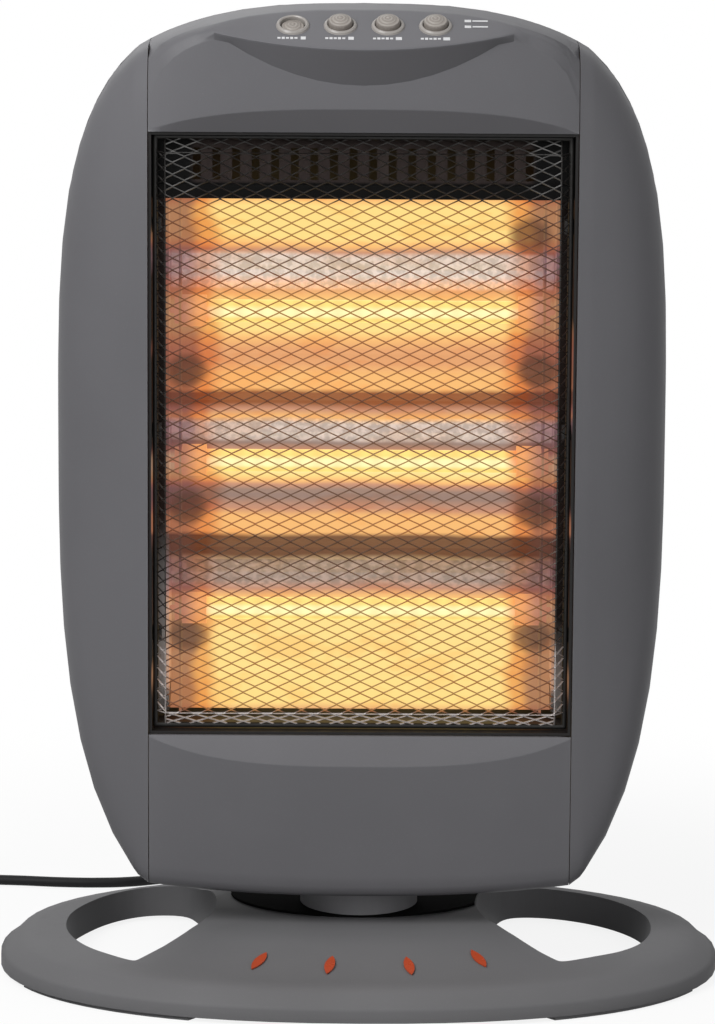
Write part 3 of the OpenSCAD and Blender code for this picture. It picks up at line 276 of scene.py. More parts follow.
# ------------------------------------------------------------------ shader maths
class Sock:
    """A shader socket that takes part in plain arithmetic."""

    def __init__(self, look, plug):
        self.look, self.plug = look, plug

    def maths(self, operation, *values):
        return self.look.add("ShaderNodeMath", dict(operation=operation), list(values))

    def __add__(self, o):
        return self.maths("ADD", self, o)

    def __sub__(self, o):
        return self.maths("SUBTRACT", self, o)

    def __rsub__(self, o):
        return self.maths("SUBTRACT", o, self)

    def __mul__(self, o):
        return self.maths("MULTIPLY", self, o)

    def __truediv__(self, o):
        return self.maths("DIVIDE", self, o)

    def __rtruediv__(self, o):
        return self.maths("DIVIDE", o, self)

    def __pow__(self, o):
        return self.maths("POWER", self, o)

    __radd__, __rmul__ = __add__, __mul__

    def sine(self):
        return self.maths("SINE", self)

    def size(self):
        return self.maths("ABSOLUTE", self)

    def least(self, o):
        return self.maths("MINIMUM", self, o)

    def most(self, o):
        return self.maths("MAXIMUM", self, o)

    def repeat(self, step):
        """Distance from the middle of the cell of this width that the value lies in."""
        return self.maths("WRAP", self, -step / 2, step / 2)

    def between(self, lo, hi, a=0.0, b=1.0):
        """Smooth step: a below lo, b above hi."""
        return self.look.add("ShaderNodeMapRange", dict(interpolation_type="SMOOTHSTEP"),
                             {"Value": self, "From Min": lo, "From Max": hi,
                              "To Min": a, "To Max": b})

    def ramp(self, *stops):
        return self.look.add("ShaderNodeValToRGB", dict(stops=stops), {"Fac": self})


def ink(r, g, b):
    """Screen colour, 0 to 255, as the light it stands for."""
    return tuple((c / 255 / 12.92) if c < 10.3 else ((c / 255 + 0.055) / 1.055) ** 2.4
                 for c in (r, g, b))


class Look:
    """The nodes of one finish, or of the studio's surround."""

    def __init__(self, name, tree=None):
        if tree is None:
            self.mat = bpy.data.materials.new(name)
            self.mat.use_nodes = True
            tree = self.mat.node_tree
        self.tree = tree
        tree.nodes.clear()
        self.place = self.add("ShaderNodeTexCoord", out="Object")

    def add(self, kind, settings=None, values=None, out=0):
        """One node: its settings first, then the values or links of its sockets."""
        node = self.tree.nodes.new(kind)
        for key, value in (settings or {}).items():
            if key == "stops":
                stops = node.color_ramp.elements
                while len(stops) < len(value):
                    stops.new(1.0)
                for stop, (at, colour) in zip(stops, value):
                    stop.position, stop.color = at, (*colour, 1.0)
            else:
                setattr(node, key, value)
        pairs = values.items() if isinstance(values, dict) else enumerate(values or [])
        for key, value in pairs:
            self.feed(node.inputs[key], value)
        if isinstance(out, tuple):
            return [Sock(self, node.outputs[k]) for k in out]
        return Sock(self, node.outputs[out]) if len(node.outputs) else None

    def feed(self, socket, value):
        if isinstance(value, Sock):
            self.tree.links.new(value.plug, socket)
        elif isinstance(value, tuple) and len(value) == 3 and len(socket.default_value) == 4:
            socket.default_value = (*value, 1.0)
        else:
            socket.default_value = value

    def xyz(self):
        return self.add("ShaderNodeSeparateXYZ", None, [self.place], out=(0, 1, 2))

    def noise(self, scale, detail=3.0, rough=0.5, stretch=None):
        at = self.place
        if stretch:
            at = self.add("ShaderNodeMapping", None, {"Vector": at, "Scale": stretch})
        return self.add("ShaderNodeTexNoise", None,
                        {"Vector": at, "Scale": scale, "Detail": detail, "Roughness": rough})

    def streaks(self, run=(1, 1, 0.1)):
        """Fine lines drawn out along the axis whose number is small."""
        return self.noise(260.0, 3.0, 0.6, run)

    def crumple(self):
        """The small dents of thin bright sheet."""
        return self.noise(230.0, 2.0, 0.6)

    def blend(self, mask, a, b, kind="MIX"):
        return self.add("ShaderNodeMix", dict(data_type="RGBA", blend_type=kind),
                        {0: mask, 6: a, 7: b}, out=2)

    def bump(self, height, strength, distance, under=None):
        values = {"Height": height, "Strength": strength, "Distance": distance}
        if under:
            values["Normal"] = under
        return self.add("ShaderNodeBump", None, values)

    def edges(self):
        """A mask along the sharp outer edges, where handling wears a surface."""
        return self.add("ShaderNodeNewGeometry", out="Pointiness").between(0.51, 0.6)

    def rays(self):
        """Whether a ray comes from the camera, off a shiny surface or through glass."""
        return self.add("ShaderNodeLightPath",
                        out=("Is Camera Ray", "Is Glossy Ray", "Is Transmission Ray"))

    def finish(self, **values):
        """The surface itself; every value is a socket's name with _ for its spaces."""
        surface = self.add("ShaderNodeBsdfPrincipled", None,
                           {key.replace("_", " "): value for key, value in values.items()})
        self.add("ShaderNodeOutputMaterial", None, {"Surface": surface})
        return self.mat


# ------------------------------------------------------------------ finishes
def shade(colour, k, lift=0.0):
    """The colour made lighter or darker by a factor, then raised."""
    return tuple(min(1.0, c * k + lift) for c in colour)


def moulded(name, colour, rough=0.42, grain=1400.0, depth=0.12, mottle=0.05, wear=0.25,
            specular=0.5):
    """Moulded plastic: a fine sparkle texture, faint cloudy mottling, paler worn edges."""
    look = Look(name)
    cloud = look.noise(7.0, 4.0, 0.55)
    fine = look.noise(grain, 2.0, 0.6)
    dust = look.noise(120.0, 5.0, 0.7)
    tone = look.blend(cloud.between(0.35, 0.65), shade(colour, 1 - mottle),
                      shade(colour, 1 + mottle))
    tone = look.blend(fine.between(0.58, 0.75) * 0.22, tone, shade(colour, 1.5))
    tone = look.blend(look.edges() * wear, tone, shade(colour, 1.25, 0.02))
    return look.finish(Base_Color=tone, Specular_IOR_Level=specular,
                       Roughness=rough + (cloud - 0.5) * 0.08 + dust.between(0.5, 0.8) * 0.06,
                       Normal=look.bump(fine, depth, 0.0002))


def sheet_metal(name, colour, rough=0.3, run=(1, 1, 1), metal=1.0, scratch=0.25):
    """Plated or painted sheet: streaks along its rolling direction, small stains."""
    look = Look(name)
    streak = look.streaks(run)
    stain = look.noise(22.0, 4.0, 0.6)
    tone = look.blend(stain.between(0.4, 0.7) * 0.5, colour, shade(colour, 0.72))
    tone = look.blend(look.edges() * 0.4, tone, shade(colour, 1.3, 0.02))
    return look.finish(Base_Color=tone, Metallic=metal,
                       Roughness=rough + (streak - 0.5) * scratch
                       + stain.between(0.45, 0.75) * 0.12,
                       Normal=look.bump(streak, 0.08, 0.0002))


def vent_paint():
    """Black vented strip: its ribs brownish with streaks, its lip and ends plain black."""
    look = Look("vent_strip_paint")
    x, _, z = look.xyz()
    streak = look.streaks()
    ribs_x, ribs_z = 0.087, 0.4315
    brown_ribs = x.size().between(ribs_x, ribs_x + 0.005, 1, 0) * z.between(ribs_z, ribs_z + 0.002)
    tone = look.blend(brown_ribs, (0.003, 0.003, 0.003), (0.040, 0.030, 0.028))
    tone = look.blend(streak.between(0.5, 0.75) * brown_ribs, tone, (0.054, 0.042, 0.038))
    return look.finish(Base_Color=tone, Roughness=0.7 + (streak - 0.5) * 0.2,
                       Specular_IOR_Level=0.12, Normal=look.bump(streak, 0.1, 0.0002))


def rubbery(name, colour, rough=0.62, specular=0.4):
    """Soft black or grey rubber with a dull bloom."""
    look = Look(name)
    fine = look.noise(900.0, 3.0, 0.65)
    bloom = look.noise(30.0, 4.0, 0.6)
    tone = look.blend(bloom.between(0.45, 0.75) * 0.4, colour, shade(colour, 1.5, 0.006))
    return look.finish(Base_Color=tone, Roughness=rough + (fine - 0.5) * 0.15,
                       Specular_IOR_Level=specular, Normal=look.bump(fine, 0.15, 0.0002))


def ringed_cap():
    """Satin button: fine turned rings round its own middle."""
    look = Look("button_satin")
    x, y, z = look.xyz()
    along = (y - LIP_Y) * math.cos(SLOPE) + (z - LIP_Z) * math.sin(SLOPE) - BUTTON_UP
    across = (x + BUTTON_PITCH / 2).repeat(BUTTON_PITCH)
    far = (along * along + across * across) ** 0.5
    ring_pitch = 0.0017
    rings = (far * (2 * math.pi / ring_pitch)).sine()
    fine = look.noise(1500.0, 2.0, 0.6)
    tone = look.blend(rings.between(-0.2, 0.8), (0.250, 0.222, 0.200), (0.345, 0.315, 0.285))
    tone = look.blend(fine.between(0.5, 0.8) * 0.4, tone, (0.42, 0.39, 0.36))
    return look.finish(Base_Color=tone, Roughness=0.36 + (fine - 0.5) * 0.1,
                       Normal=look.bump(fine, 0.1, 0.0002, look.bump(rings, 0.5, 0.0003)))


# Tones of the tubes' light painted on the troughs, as screen colours; the dark brown one is a dim
# band of that light
TONES = {"gold": ink(254, 222, 138), "pale": ink(255, 242, 172), "amber": ink(246, 188, 118),
         "peach": ink(226, 162, 112), "rose": ink(198, 144, 118), "ash": ink(146, 124, 116),
         "silver": ink(182, 166, 158), "umber": ink(94, 64, 54), "dim_brown": ink(138, 80, 50)}
# The bands of light from bottom to top, as the photograph shows them: height in mm and tone
TROUGHS = ((138, "umber"), (141, "peach"), (146, "gold"), (193, "gold"), (197, "pale"),
           (202, "gold"), (205, "amber"), (209, "rose"), (214, "ash"), (223, "ash"),
           (228, "umber"), (238, "umber"), (240.5, "amber"), (249, "amber"), (253, "rose"),
           (259, "ash"), (263, "ash"), (266, "rose"), (268, "amber"), (271, "gold"),
           (275, "pale"), (281, "pale"), (285, "rose"), (289, "ash"), (294, "silver"),
           (300, "silver"), (303.5, "amber"), (307.5, "rose"), (311, "dim_brown"), (316.5, "dim_brown"),
           (319, "amber"), (327, "amber"), (333, "peach"), (341, "peach"), (347, "amber"),
           (352, "gold"), (366, "gold"), (370, "amber"), (374, "peach"), (378, "rose"),
           (381, "silver"), (391, "silver"), (394, "rose"), (397, "amber"), (401, "gold"),
           (417, "gold"), (421, "amber"), (428, "dim_brown"))


# A colour ramp holds 32 stops, so the bands are shared out to several
RAMP_STEPS = 24
# Where the sheet stays silver: middle, then how far off it begins and ends to fade, in mm
SILVER_FOLDS = ((383.5, 8, 11), (296.5, 5, 7), (219, 6, 10))
# Painted shadows of the end caps and brackets, as dark spots: two at each of these heights, and a
# single one, in mm
SPOT_PAIRS, LONE_SPOT = (183, 253, 329), 403
SPOT_X, SPOT_WIDE, SPOT_HIGH, LONE_OFF = 0.094, 0.011, 9, 0.004
EMBER_X, DIM_X = 0.074, 0.086


def trough_height(look):
    """Height in mm along the line of sight from the front, wavering as bent sheet does."""
    _, y, z = look.xyz()
    waver = (look.noise(10.0, 3.0, 0.55) - 0.5) * 7
    return (z + (y - TUBE_Y) * math.tan(TILT)) * 1000 + waver


def silver_folds(height):
    """A mask of the folds between the troughs, where the sheet stays silver."""
    return sum((height - middle).size().between(clear, gone, 1, 0)
               for middle, clear, gone in SILVER_FOLDS).least(1)


def light_bands(look, height):
    """The bands of light by height, before anything dims them."""
    glow = None
    for first in range(0, len(TROUGHS) - 1, RAMP_STEPS):
        part = TROUGHS[first:first + RAMP_STEPS + 1]
        lo, hi = part[0][0], part[-1][0]
        bands = ((height - lo) / (hi - lo)).ramp(
            *(((at - lo) / (hi - lo), TONES[tone]) for at, tone in part))
        glow = look.blend(height.between(lo - 0.1, lo + 0.1), glow, bands) if glow else bands
    return glow


def painted_shadow_spots(x, height):
    """A mask of the painted shadows of the end caps and brackets: dark spots at the ends of the
    sheet.
    """
    spots = 0
    for side, at in [(x.size(), at) for at in SPOT_PAIRS] + [(x + LONE_OFF, LONE_SPOT)]:
        far = ((side - SPOT_X) / SPOT_WIDE) ** 2 + ((height - at) / SPOT_HIGH) ** 2
        spots = far.between(0.3, 1.6, 1, 0) + spots
    return spots.least(1)


def trough_light(look, crumple):
    """The warm light of the tubes, painted on: bands, blotches, ember ends that fade out, painted
    shadow spots.
    """
    x = look.xyz()[0]
    height = trough_height(look)
    glow = light_bands(look, height)
    blotch = look.noise(26.0, 3.0, 0.6, (1, 1, 2.6))
    glow = look.blend(blotch.between(0.5, 0.62) * 0.5, glow,
                      look.blend(1.0, glow, (0.98, 0.74, 0.58), "MULTIPLY"))
    far = x.size() + (look.noise(26.0, 2.0, 0.5) - 0.5) * 0.02
    ember = look.blend(1.0, glow, (0.84, 0.54, 0.42), "MULTIPLY")
    dim = look.blend(1.0, glow, (0.50, 0.33, 0.45), "MULTIPLY")
    dim = look.blend(0.3, dim, (0.16, 0.085, 0.06))
    light = look.blend(far.between(EMBER_X, EMBER_X + 0.011), glow, ember)
    light = look.blend(far.between(DIM_X, DIM_X + 0.009), light, dim)
    # Painted shadows of the end caps and brackets darken the light in spots
    light = look.blend(painted_shadow_spots(x, height) * 0.75, light, (0.06, 0.03, 0.022))
    sparkle = crumple.between(0.38, 0.66, 0.66, 1.28)
    return look.blend(1.0, light,
                      look.blend(silver_folds(height) * 0.85, (1, 1, 1), sparkle), "MULTIPLY")


def mirror_sheet():
    """Bright rolled reflector behind the tubes, the tubes' light on it painted in as glow."""
    look = Look("reflector_bright")
    crumple = look.crumple()
    sheet = look.blend(silver_folds(trough_height(look)), (0.10, 0.065, 0.045),
                       (0.36, 0.34, 0.33))
    return look.finish(Base_Color=sheet, Metallic=0.9, Roughness=0.30 + crumple * 0.12,
                       Normal=look.bump(crumple, 0.35, 0.0007),
                       Emission_Color=trough_light(look, crumple), Emission_Strength=0.97)


def bracket_plate():
    """Holder plate at the tubes' ends: darkened by heat, lit by the same bands."""
    look = Look("bracket_heat_dark")
    crumple = look.crumple()
    return look.finish(Base_Color=look.blend(crumple, (0.03, 0.018, 0.012), (0.05, 0.03, 0.02)),
                       Roughness=0.5 + crumple * 0.12, Specular_IOR_Level=0.2,
                       Emission_Color=trough_light(look, crumple), Emission_Strength=0.85)


def hot_quartz():
    """Quartz tube: palest along its middle, ringed by the coil in it, orange at its ends."""
    look = Look("quartz_glow")
    x, _, z = look.xyz()
    off = (z - TUBE_Z[0]).size()
    for at in TUBE_Z[1:]:
        off = off.least((z - at).size())
    core = off.between(0.0010, 0.0040, 1, 0)
    end_x, coil_pitch = 0.074, 0.0105
    waver = (look.noise(30.0, 2.0, 0.5) - 0.5) * 0.016
    hot = (x.size() + waver).between(end_x, end_x + 0.016, 1, 0)
    colour = look.blend(core, ink(252, 220, 126), ink(255, 246, 180))
    turns = (x * (2 * math.pi / coil_pitch)).sine() * 0.06 + 0.95
    colour = look.blend(1.0, colour, turns, "MULTIPLY")
    colour = look.blend(hot, ink(224, 112, 62), colour)
    smear = look.noise(60.0, 3.0, 0.6)
    return look.finish(Base_Color=(0.16, 0.09, 0.05), Roughness=0.12 + smear * 0.1,
                       Specular_IOR_Level=0.25, Emission_Color=colour, Emission_Strength=1.05)


def hot_wire():
    """Heating wire: orange for most of its length, dull red at its ends."""
    look = Look("wire_glow")
    x = look.xyz()[0]
    scale = look.noise(500.0, 2.0, 0.5)
    hot_x, red_x = 0.068, 0.088
    colour = look.blend(x.size().between(hot_x, red_x, 1, 0), (0.5, 0.08, 0.01),
                        (1.0, 0.6, 0.18))
    return look.finish(Base_Color=(0.3, 0.2, 0.15), Metallic=1.0, Roughness=0.45 + scale * 0.2,
                       Emission_Color=colour, Emission_Strength=2.0)


def baked_ceramic():
    """End cap: ceramic baked brown, redder and more brightly lit towards the tube."""
    look = Look("ceramic_end")
    x = look.xyz()[0]
    fine = look.noise(500.0, 3.0, 0.6)
    cap_x, clean_x = 0.085, 0.096
    scorch_and_glow_fade = x.size().between(cap_x, clean_x)
    tone = look.blend(scorch_and_glow_fade, (0.16, 0.09, 0.05), (0.10, 0.075, 0.06))
    tone = look.blend(fine.between(0.5, 0.8) * 0.4, tone, (0.09, 0.06, 0.04))
    # The tubes' light painted on as a warm glow, brighter towards the tube
    warm = look.blend(scorch_and_glow_fade, ink(248, 166, 98), ink(188, 124, 98))
    return look.finish(Base_Color=tone, Roughness=0.6 + (fine - 0.5) * 0.2,
                       Normal=look.bump(fine, 0.2, 0.0003),
                       Emission_Color=warm, Emission_Strength=0.85)


def guard_wire():
    """Coated wire, light and shade painted on: warm dark with the tubes' light behind it, darkest
    over the vents' middle, paler where nothing glows behind; painted shade and light on the
    folded sides, and the tubes' light painted on it in front of the reflector.
    """
    look = Look("guard_coated_wire")
    x, _, z = look.xyz()
    fine = look.noise(700.0, 3.0, 0.6)
    fold = x.size().between(NET_X - 0.0008, NET_X)
    pale_z, dark_z, vent_z, vent_x = 0.180, 0.190, 0.424, 0.084
    # Painted light: the bottom row and the folded sides low down turn pale
    low = (z.between(NET_LOW - 0.0002, NET_LOW + 0.0008, 1, 0)
           + fold * z.between(pale_z, dark_z, 1, 0)).least(1)
    # Painted light and shade: warm dark over the glow, near-black over the vents' middle, paler
    # where the lamps light the wire beside them
    tone = look.blend(z.between(vent_z, vent_z + 0.005), (0.050, 0.034, 0.026),
                      look.blend(x.size().between(vent_x, vent_x + 0.006),
                                 (0.016, 0.014, 0.013), (0.130, 0.127, 0.124)))
    # Painted shade on the folded sides higher up
    tone = look.blend(fold * z.between(dark_z, dark_z + 0.010), tone, (0.022, 0.020, 0.019))
    tone = look.blend(low, tone, (0.50, 0.46, 0.45))
    tone = look.blend(fine.between(0.5, 0.8) * 0.3, tone, (0.08, 0.072, 0.064))
    # The tubes' light painted on the wires in front of the reflector, between the bottom row and
    # the top of the light
    painted_light_front = x.size().between(NET_X - 0.0020, NET_X - 0.0004, 1, 0) \
        * z.between(NET_LOW + 0.0004, NET_LOW + 0.0020) \
        * z.between(LIT_TOP - 0.005, LIT_TOP - 0.001, 1, 0)
    light = look.blend(1.0, trough_light(look, fine), (0.34, 0.24, 0.18), "MULTIPLY")
    glow = look.blend(painted_light_front, (0, 0, 0), light)
    return look.finish(Base_Color=tone, Metallic=0.3, Roughness=0.45 + (fine - 0.5) * 0.2,
                       Normal=look.bump(fine, 0.2, 0.0002),
                       Emission_Color=glow, Emission_Strength=1.0)


def painted_reflection_rail():
    """Plated side sheet: the tubes' light painted on beside the reflector, and a painted
    reflection, bright low down and dark higher up.
    """
    look = Look("rail_painted_reflection")
    x, _, z = look.xyz()
    bright_below_z, dark_above_z = 0.168, 0.222
    edge = z + x * 0.25 + (look.noise(40.0, 3.0, 0.6) - 0.5) * 0.03
    streak = look.streaks()
    # Painted reflection: bright sheet low down, dark higher up
    tone = look.blend(edge.between(bright_below_z, dark_above_z), (0.40, 0.38, 0.37),
                      (0.020, 0.014, 0.012))
    light = trough_light(look, look.crumple())
    # The tubes' light painted on beside the reflector
    beside = x.size().between(LIT_X - 0.0006, LIT_X, 0.9, 0) \
        * z.between(LIT_LOW, LIT_LOW + 0.006) * z.between(LIT_TOP - 0.006, LIT_TOP, 1, 0)
    return look.finish(Base_Color=tone, Metallic=0.8, Roughness=0.34 + (streak - 0.5) * 0.2,
                       Normal=look.bump(streak, 0.1, 0.0003),
                       Emission_Color=look.blend(beside, (0, 0, 0), light),
                       Emission_Strength=0.9)


def front_frame():
    """Black frame paint whose side walls catch the tubes' light in patches."""
    look = Look("front_frame_paint")
    x, _, z = look.xyz()
    streak = look.streaks()
    light = trough_light(look, look.crumple())
    wall = (x.size() - FRAME_X).size().between(0.0006, 0.0012, 1, 0)
    patch = look.noise(14.0, 2.0, 0.5, (0.1, 0.1, 1)).between(0.52, 0.60) \
        * z.between(LIT_LOW, LIT_LOW + 0.020) * z.between(LIT_TOP - 0.026, LIT_TOP - 0.014, 1, 0)
    tone = look.blend(streak.between(0.5, 0.75) * 0.4, (0.010, 0.009, 0.009),
                      (0.020, 0.018, 0.017))
    return look.finish(Base_Color=tone, Roughness=0.5 + (streak - 0.5) * 0.15,
                       Specular_IOR_Level=0.3, Normal=look.bump(streak, 0.1, 0.0002),
                       Emission_Color=look.blend(wall * patch, (0, 0, 0), light),
                       Emission_Strength=0.9)


GREY = (0.138, 0.1365, 0.146)
FINISHES = {
    "shell": moulded("satin_grey", GREY, rough=0.48, grain=1500.0, depth=0.10, mottle=0.04,
                     wear=0.12, specular=0.24),
    "base": moulded("satin_grey_base", (0.155, 0.154, 0.159), rough=0.55, grain=1500.0,
                    depth=0.10, mottle=0.04, wear=0.12, specular=0.1),
    "collar": moulded("collar_grey", (0.235, 0.232, 0.244), rough=0.50, grain=1200.0,
                      depth=0.15),
    "back": moulded("textured_back", (0.120, 0.119, 0.127), rough=0.55, grain=1100.0,
                    depth=0.45, mottle=0.05),
    "black": moulded("black_cover", (0.018, 0.018, 0.019), rough=0.55, grain=1000.0,
                     depth=0.3, mottle=0.05, wear=0.1, specular=0.3),
    "frame": front_frame(),
    "fittings": sheet_metal("black_fittings", (0.014, 0.013, 0.012), rough=0.5, metal=0.2,
                            scratch=0.15),
    "vents": vent_paint(),
    # The heat shield seen through the vent slots: its near-black is painted shadow
    "shadow": sheet_metal("duct_painted_shadow", (0.002, 0.002, 0.002), rough=0.8, metal=0.0,
                          scratch=0.1),
    # The swivel deck right under the head: its near-black is painted shade
    "deck": rubbery("deck_painted_shade", (0.005, 0.005, 0.005), rough=0.9, specular=0.03),
    "rubber": rubbery("foot_rubber_grey", (0.150, 0.150, 0.155)),
    "orange": moulded("insert_orange", (0.44, 0.058, 0.015), rough=0.26, grain=2400.0,
                      depth=0.04, mottle=0.08),
    "iron": sheet_metal("ballast_iron", (0.20, 0.18, 0.16), rough=0.55, scratch=0.3),
    "zinc": sheet_metal("zinc_screws", (0.62, 0.62, 0.60), rough=0.3),
    "plated": sheet_metal("plated_sheet", (0.42, 0.42, 0.41), rough=0.34, run=(1, 1, 0.1)),
    "nylon": moulded("natural_nylon", (0.70, 0.66, 0.56), rough=0.45, grain=900.0,
                     depth=0.08),
    "switch": moulded("switch_black", (0.03, 0.03, 0.033), rough=0.4, grain=1200.0,
                      depth=0.15),
    "plug": moulded("plug_black", (0.018, 0.018, 0.019), rough=0.45, grain=1200.0,
                    depth=0.25),
    "pins": sheet_metal("pin_plating", (0.66, 0.62, 0.52), rough=0.2),
    "phenolic": moulded("cutout_brown", (0.22, 0.10, 0.04), rough=0.3, grain=900.0,
                        depth=0.1),
    "handle": moulded("handle_dark", (0.055, 0.055, 0.060), rough=0.5, grain=900.0,
                      depth=0.4),
    "cap": ringed_cap(),
    "bezel": moulded("bezel_satin", (0.300, 0.280, 0.262), rough=0.32, grain=1800.0,
                     depth=0.06),
    "reflector": mirror_sheet(),
    "bracket": bracket_plate(),
    "quartz": hot_quartz(),
    "wire": hot_wire(),
    "ceramic": baked_ceramic(),
    "guard": guard_wire(),
    "rail": painted_reflection_rail(),
    "cord": rubbery("cord_sheath", (0.010, 0.010, 0.011), rough=0.6, specular=0.25),
    "marks": moulded("console_print", (0.60, 0.60, 0.61), rough=0.5, grain=1500.0,
                     depth=0.05),
}
WEARS = {
    "shell": ["left_wing", "right_wing", "top_panel", "bottom_panel"],
    "base": ["base_shell"],
    "collar": ["turntable_collar"],
    "back": ["rear_shell", "rear_panel"],
    "black": ["base_cover"],
    "deck": ["swivel_deck"],
    "frame": ["inner_frame"],
    "vents": ["vent_grille"],
    "shadow": ["heat_shield"],
    "rubber": ["foot_strips"],
    "orange": ["base_inserts"],
    "iron": ["ballast_plate"],
    "fittings": ["guard_clips", "guard_rim"],
    "zinc": ["base_screws", "shell_screws", "collar_screws"],
    "plated": ["swing_motor", "yoke_plate"],
    "rail": ["chassis_rails"],
    "nylon": ["crank_disc", "tip_plunger", "base_terminal", "terminal_block", "bearing_ring"],
    "switch": ["tip_switch", "switch_block"],
    "plug": ["plug_body", "cord_gland"],
    "pins": ["plug_pins"],
    "phenolic": ["thermal_cutout"],
    "handle": ["carry_handle"],
    "cap": ["button_1", "button_2", "button_3", "button_4"],
    "bezel": ["button_bezels"],
    "reflector": ["reflector"],
    "bracket": ["lamp_brackets"],
    "quartz": ["quartz_tubes"],
    "wire": ["heating_wires"],
    "ceramic": ["end_caps", "lamp_leads"],
    "guard": ["wire_guard"],
    "cord": ["mains_cord", "cord_coil", "cord_tail"],
}
for finish, names in WEARS.items():
    for name in names:
        for place in frame["nodes"][name].material_slots:
            place.material = FINISHES[finish]
for piece, finish in ((lead, "cord"), (boot, "plug"), (plug, "plug")):
    piece.data.materials.clear()
    piece.data.materials.append(FINISHES[finish])


# ------------------------------------------------------------------ moulded skins
def fair_skin(node, body, angle, creases=None):
    """A moulded shell as it leaves the tool: the solid's skin, welded, its edges under the
    angle in degrees shaded round. Faces that pass the test creases keep a sharp border."""
    only(frame["nodes"][node])
    bpy.ops.object.duplicate()
    skin = bpy.context.object
    for mark in [key for key in skin.keys() if key.startswith("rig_")]:
        del skin[mark]
    bpy.ops.object.parent_clear(type="CLEAR_KEEP_TRANSFORM")
    shaping(skin)
    bpy.ops.mesh.select_all(action="SELECT")
    bpy.ops.mesh.remove_doubles(threshold=0.00001)
    if creases:
        pick(skin, faces=creases)
        bpy.ops.mesh.region_to_loop()
        bpy.ops.mesh.mark_sharp()
    bpy.ops.object.mode_set(mode="OBJECT")
    finished(skin, node + "_skin", body, angle)
    even = skin.modifiers.new("even_shading", "WEIGHTED_NORMAL")
    even.keep_sharp, even.mode = True, "FACE_AREA_WITH_ANGLE"
    keep_modifiers(skin)
    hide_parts(node)


def hole_wall(c, n):
    """The upright walls of the base's openings, inside its rim."""
    rim = abs(c.x / BASE_X) ** BASE_POWER + abs(c.y / BASE_Y) ** BASE_POWER
    return abs(n.z) < 0.35 and rim < 0.88


def scoop(c, n):
    """The hollow under the console's lip."""
    foot_z, half = 0.484, 0.0765
    return n.y < -0.5 and n.z < -0.1 and c.z > foot_z and abs(c.x) < half


fair_skin("base_shell", "base", 44, hole_wall)
fair_skin("top_panel", "head", 24, scoop)
for node in ("bottom_panel", "left_wing", "right_wing"):
    fair_skin(node, "head", 34)
fair_skin("rear_shell", "head", 34)


# ------------------------------------------------------------------ guard net
def diamonds(half_x, half_z, centre, wide, high):
    """A sheet of diamonds in the XZ plane round a centre, cut to a rectangle."""
    nothing_selected()
    cuts = 2 * math.ceil(half_x / wide + half_z / high) + 2
    cuts += cuts % 2
    bpy.ops.mesh.primitive_grid_add(x_subdivisions=cuts, y_subdivisions=cuts, size=1.0,
                                    rotation=(0, 0, math.pi / 4))
    net = bpy.context.object
    bpy.ops.object.transform_apply(location=False, rotation=True, scale=False)
    cell = math.sqrt(2) / cuts
    net.scale = (wide / cell, high / cell, 1)
    bpy.ops.object.transform_apply(location=False, rotation=False, scale=True)
    net.rotation_euler, net.location = (math.pi / 2, 0, 0), centre
    bpy.ops.object.transform_apply(location=True, rotation=True, scale=False)
    shaping(net)
    x, y, z = centre
    for co, no in (((x + half_x, y, z), (1, 0, 0)), ((x - half_x, y, z), (-1, 0, 0)),
                   ((x, y, z + half_z), (0, 0, 1)), ((x, y, z - half_z), (0, 0, -1))):
        bpy.ops.mesh.select_all(action="SELECT")
        bpy.ops.mesh.bisect(plane_co=co, plane_no=no, clear_outer=True)
    return net


def wire_guard_net():
    """The guard: a fine diamond net whose four sides are folded back to the rim wire."""
    diamond_x, diamond_z, wire, past = 0.01250, 0.00632, 0.00110, 1e-5
    mid, half = (NET_LOW + NET_TOP) / 2, (NET_TOP - NET_LOW) / 2
    side = math.hypot(RIM_X - NET_X, RIM_Y - NET_Y)
    flap = math.hypot(RIM_TOP - NET_TOP, RIM_Y - NET_Y)
    net = diamonds(NET_X + side, half + flap, (0, NET_Y, mid), diamond_x, diamond_z)
    for co, no in (((NET_X, NET_Y, mid), (1, 0, 0)), ((-NET_X, NET_Y, mid), (-1, 0, 0)),
                   ((0, NET_Y, NET_TOP), (0, 0, 1)), ((0, NET_Y, NET_LOW), (0, 0, -1))):
        bpy.ops.mesh.select_all(action="SELECT")
        bpy.ops.mesh.bisect(plane_co=co, plane_no=no)
    pick(net, points=lambda p: abs(p.x) > NET_X + past and abs(p.z - mid) > half + past)
    bpy.ops.mesh.delete(type="VERT")
    turn = math.atan2(RIM_Y - NET_Y, RIM_X - NET_X)
    tip = math.atan2(RIM_Y - NET_Y, RIM_TOP - NET_TOP)
    for s in (1, -1):
        pick(net, points=lambda p: s * p.x > NET_X + past)
        bpy.ops.transform.rotate(value=-s * turn, orient_axis="Z",
                                 center_override=(s * NET_X, NET_Y, mid))
        pick(net, points=lambda p: s * (p.z - mid) > half + past)
        bpy.ops.transform.rotate(value=s * tip, orient_axis="X",
                                 center_override=(0, NET_Y, mid + s * half))
    bpy.ops.object.mode_set(mode="OBJECT")
    wires = net.modifiers.new("wires", "WIREFRAME")
    wires.thickness, wires.use_even_offset, wires.use_boundary = wire, False, True
    keep_modifiers(net)
    net.data.materials.append(FINISHES["guard"])
    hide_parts("wire_guard")
    return finished(net, "guard_net", "head")


wire_guard_net()


# ------------------------------------------------------------------ console print
def on_console(x, up, lift):
    """A point on the sloping console, up along it from its lip."""
    c, s = math.cos(SLOPE), math.sin(SLOPE)
    return Vector((x, LIP_Y + up * c - lift * s, LIP_Z + up * s + lift * c))


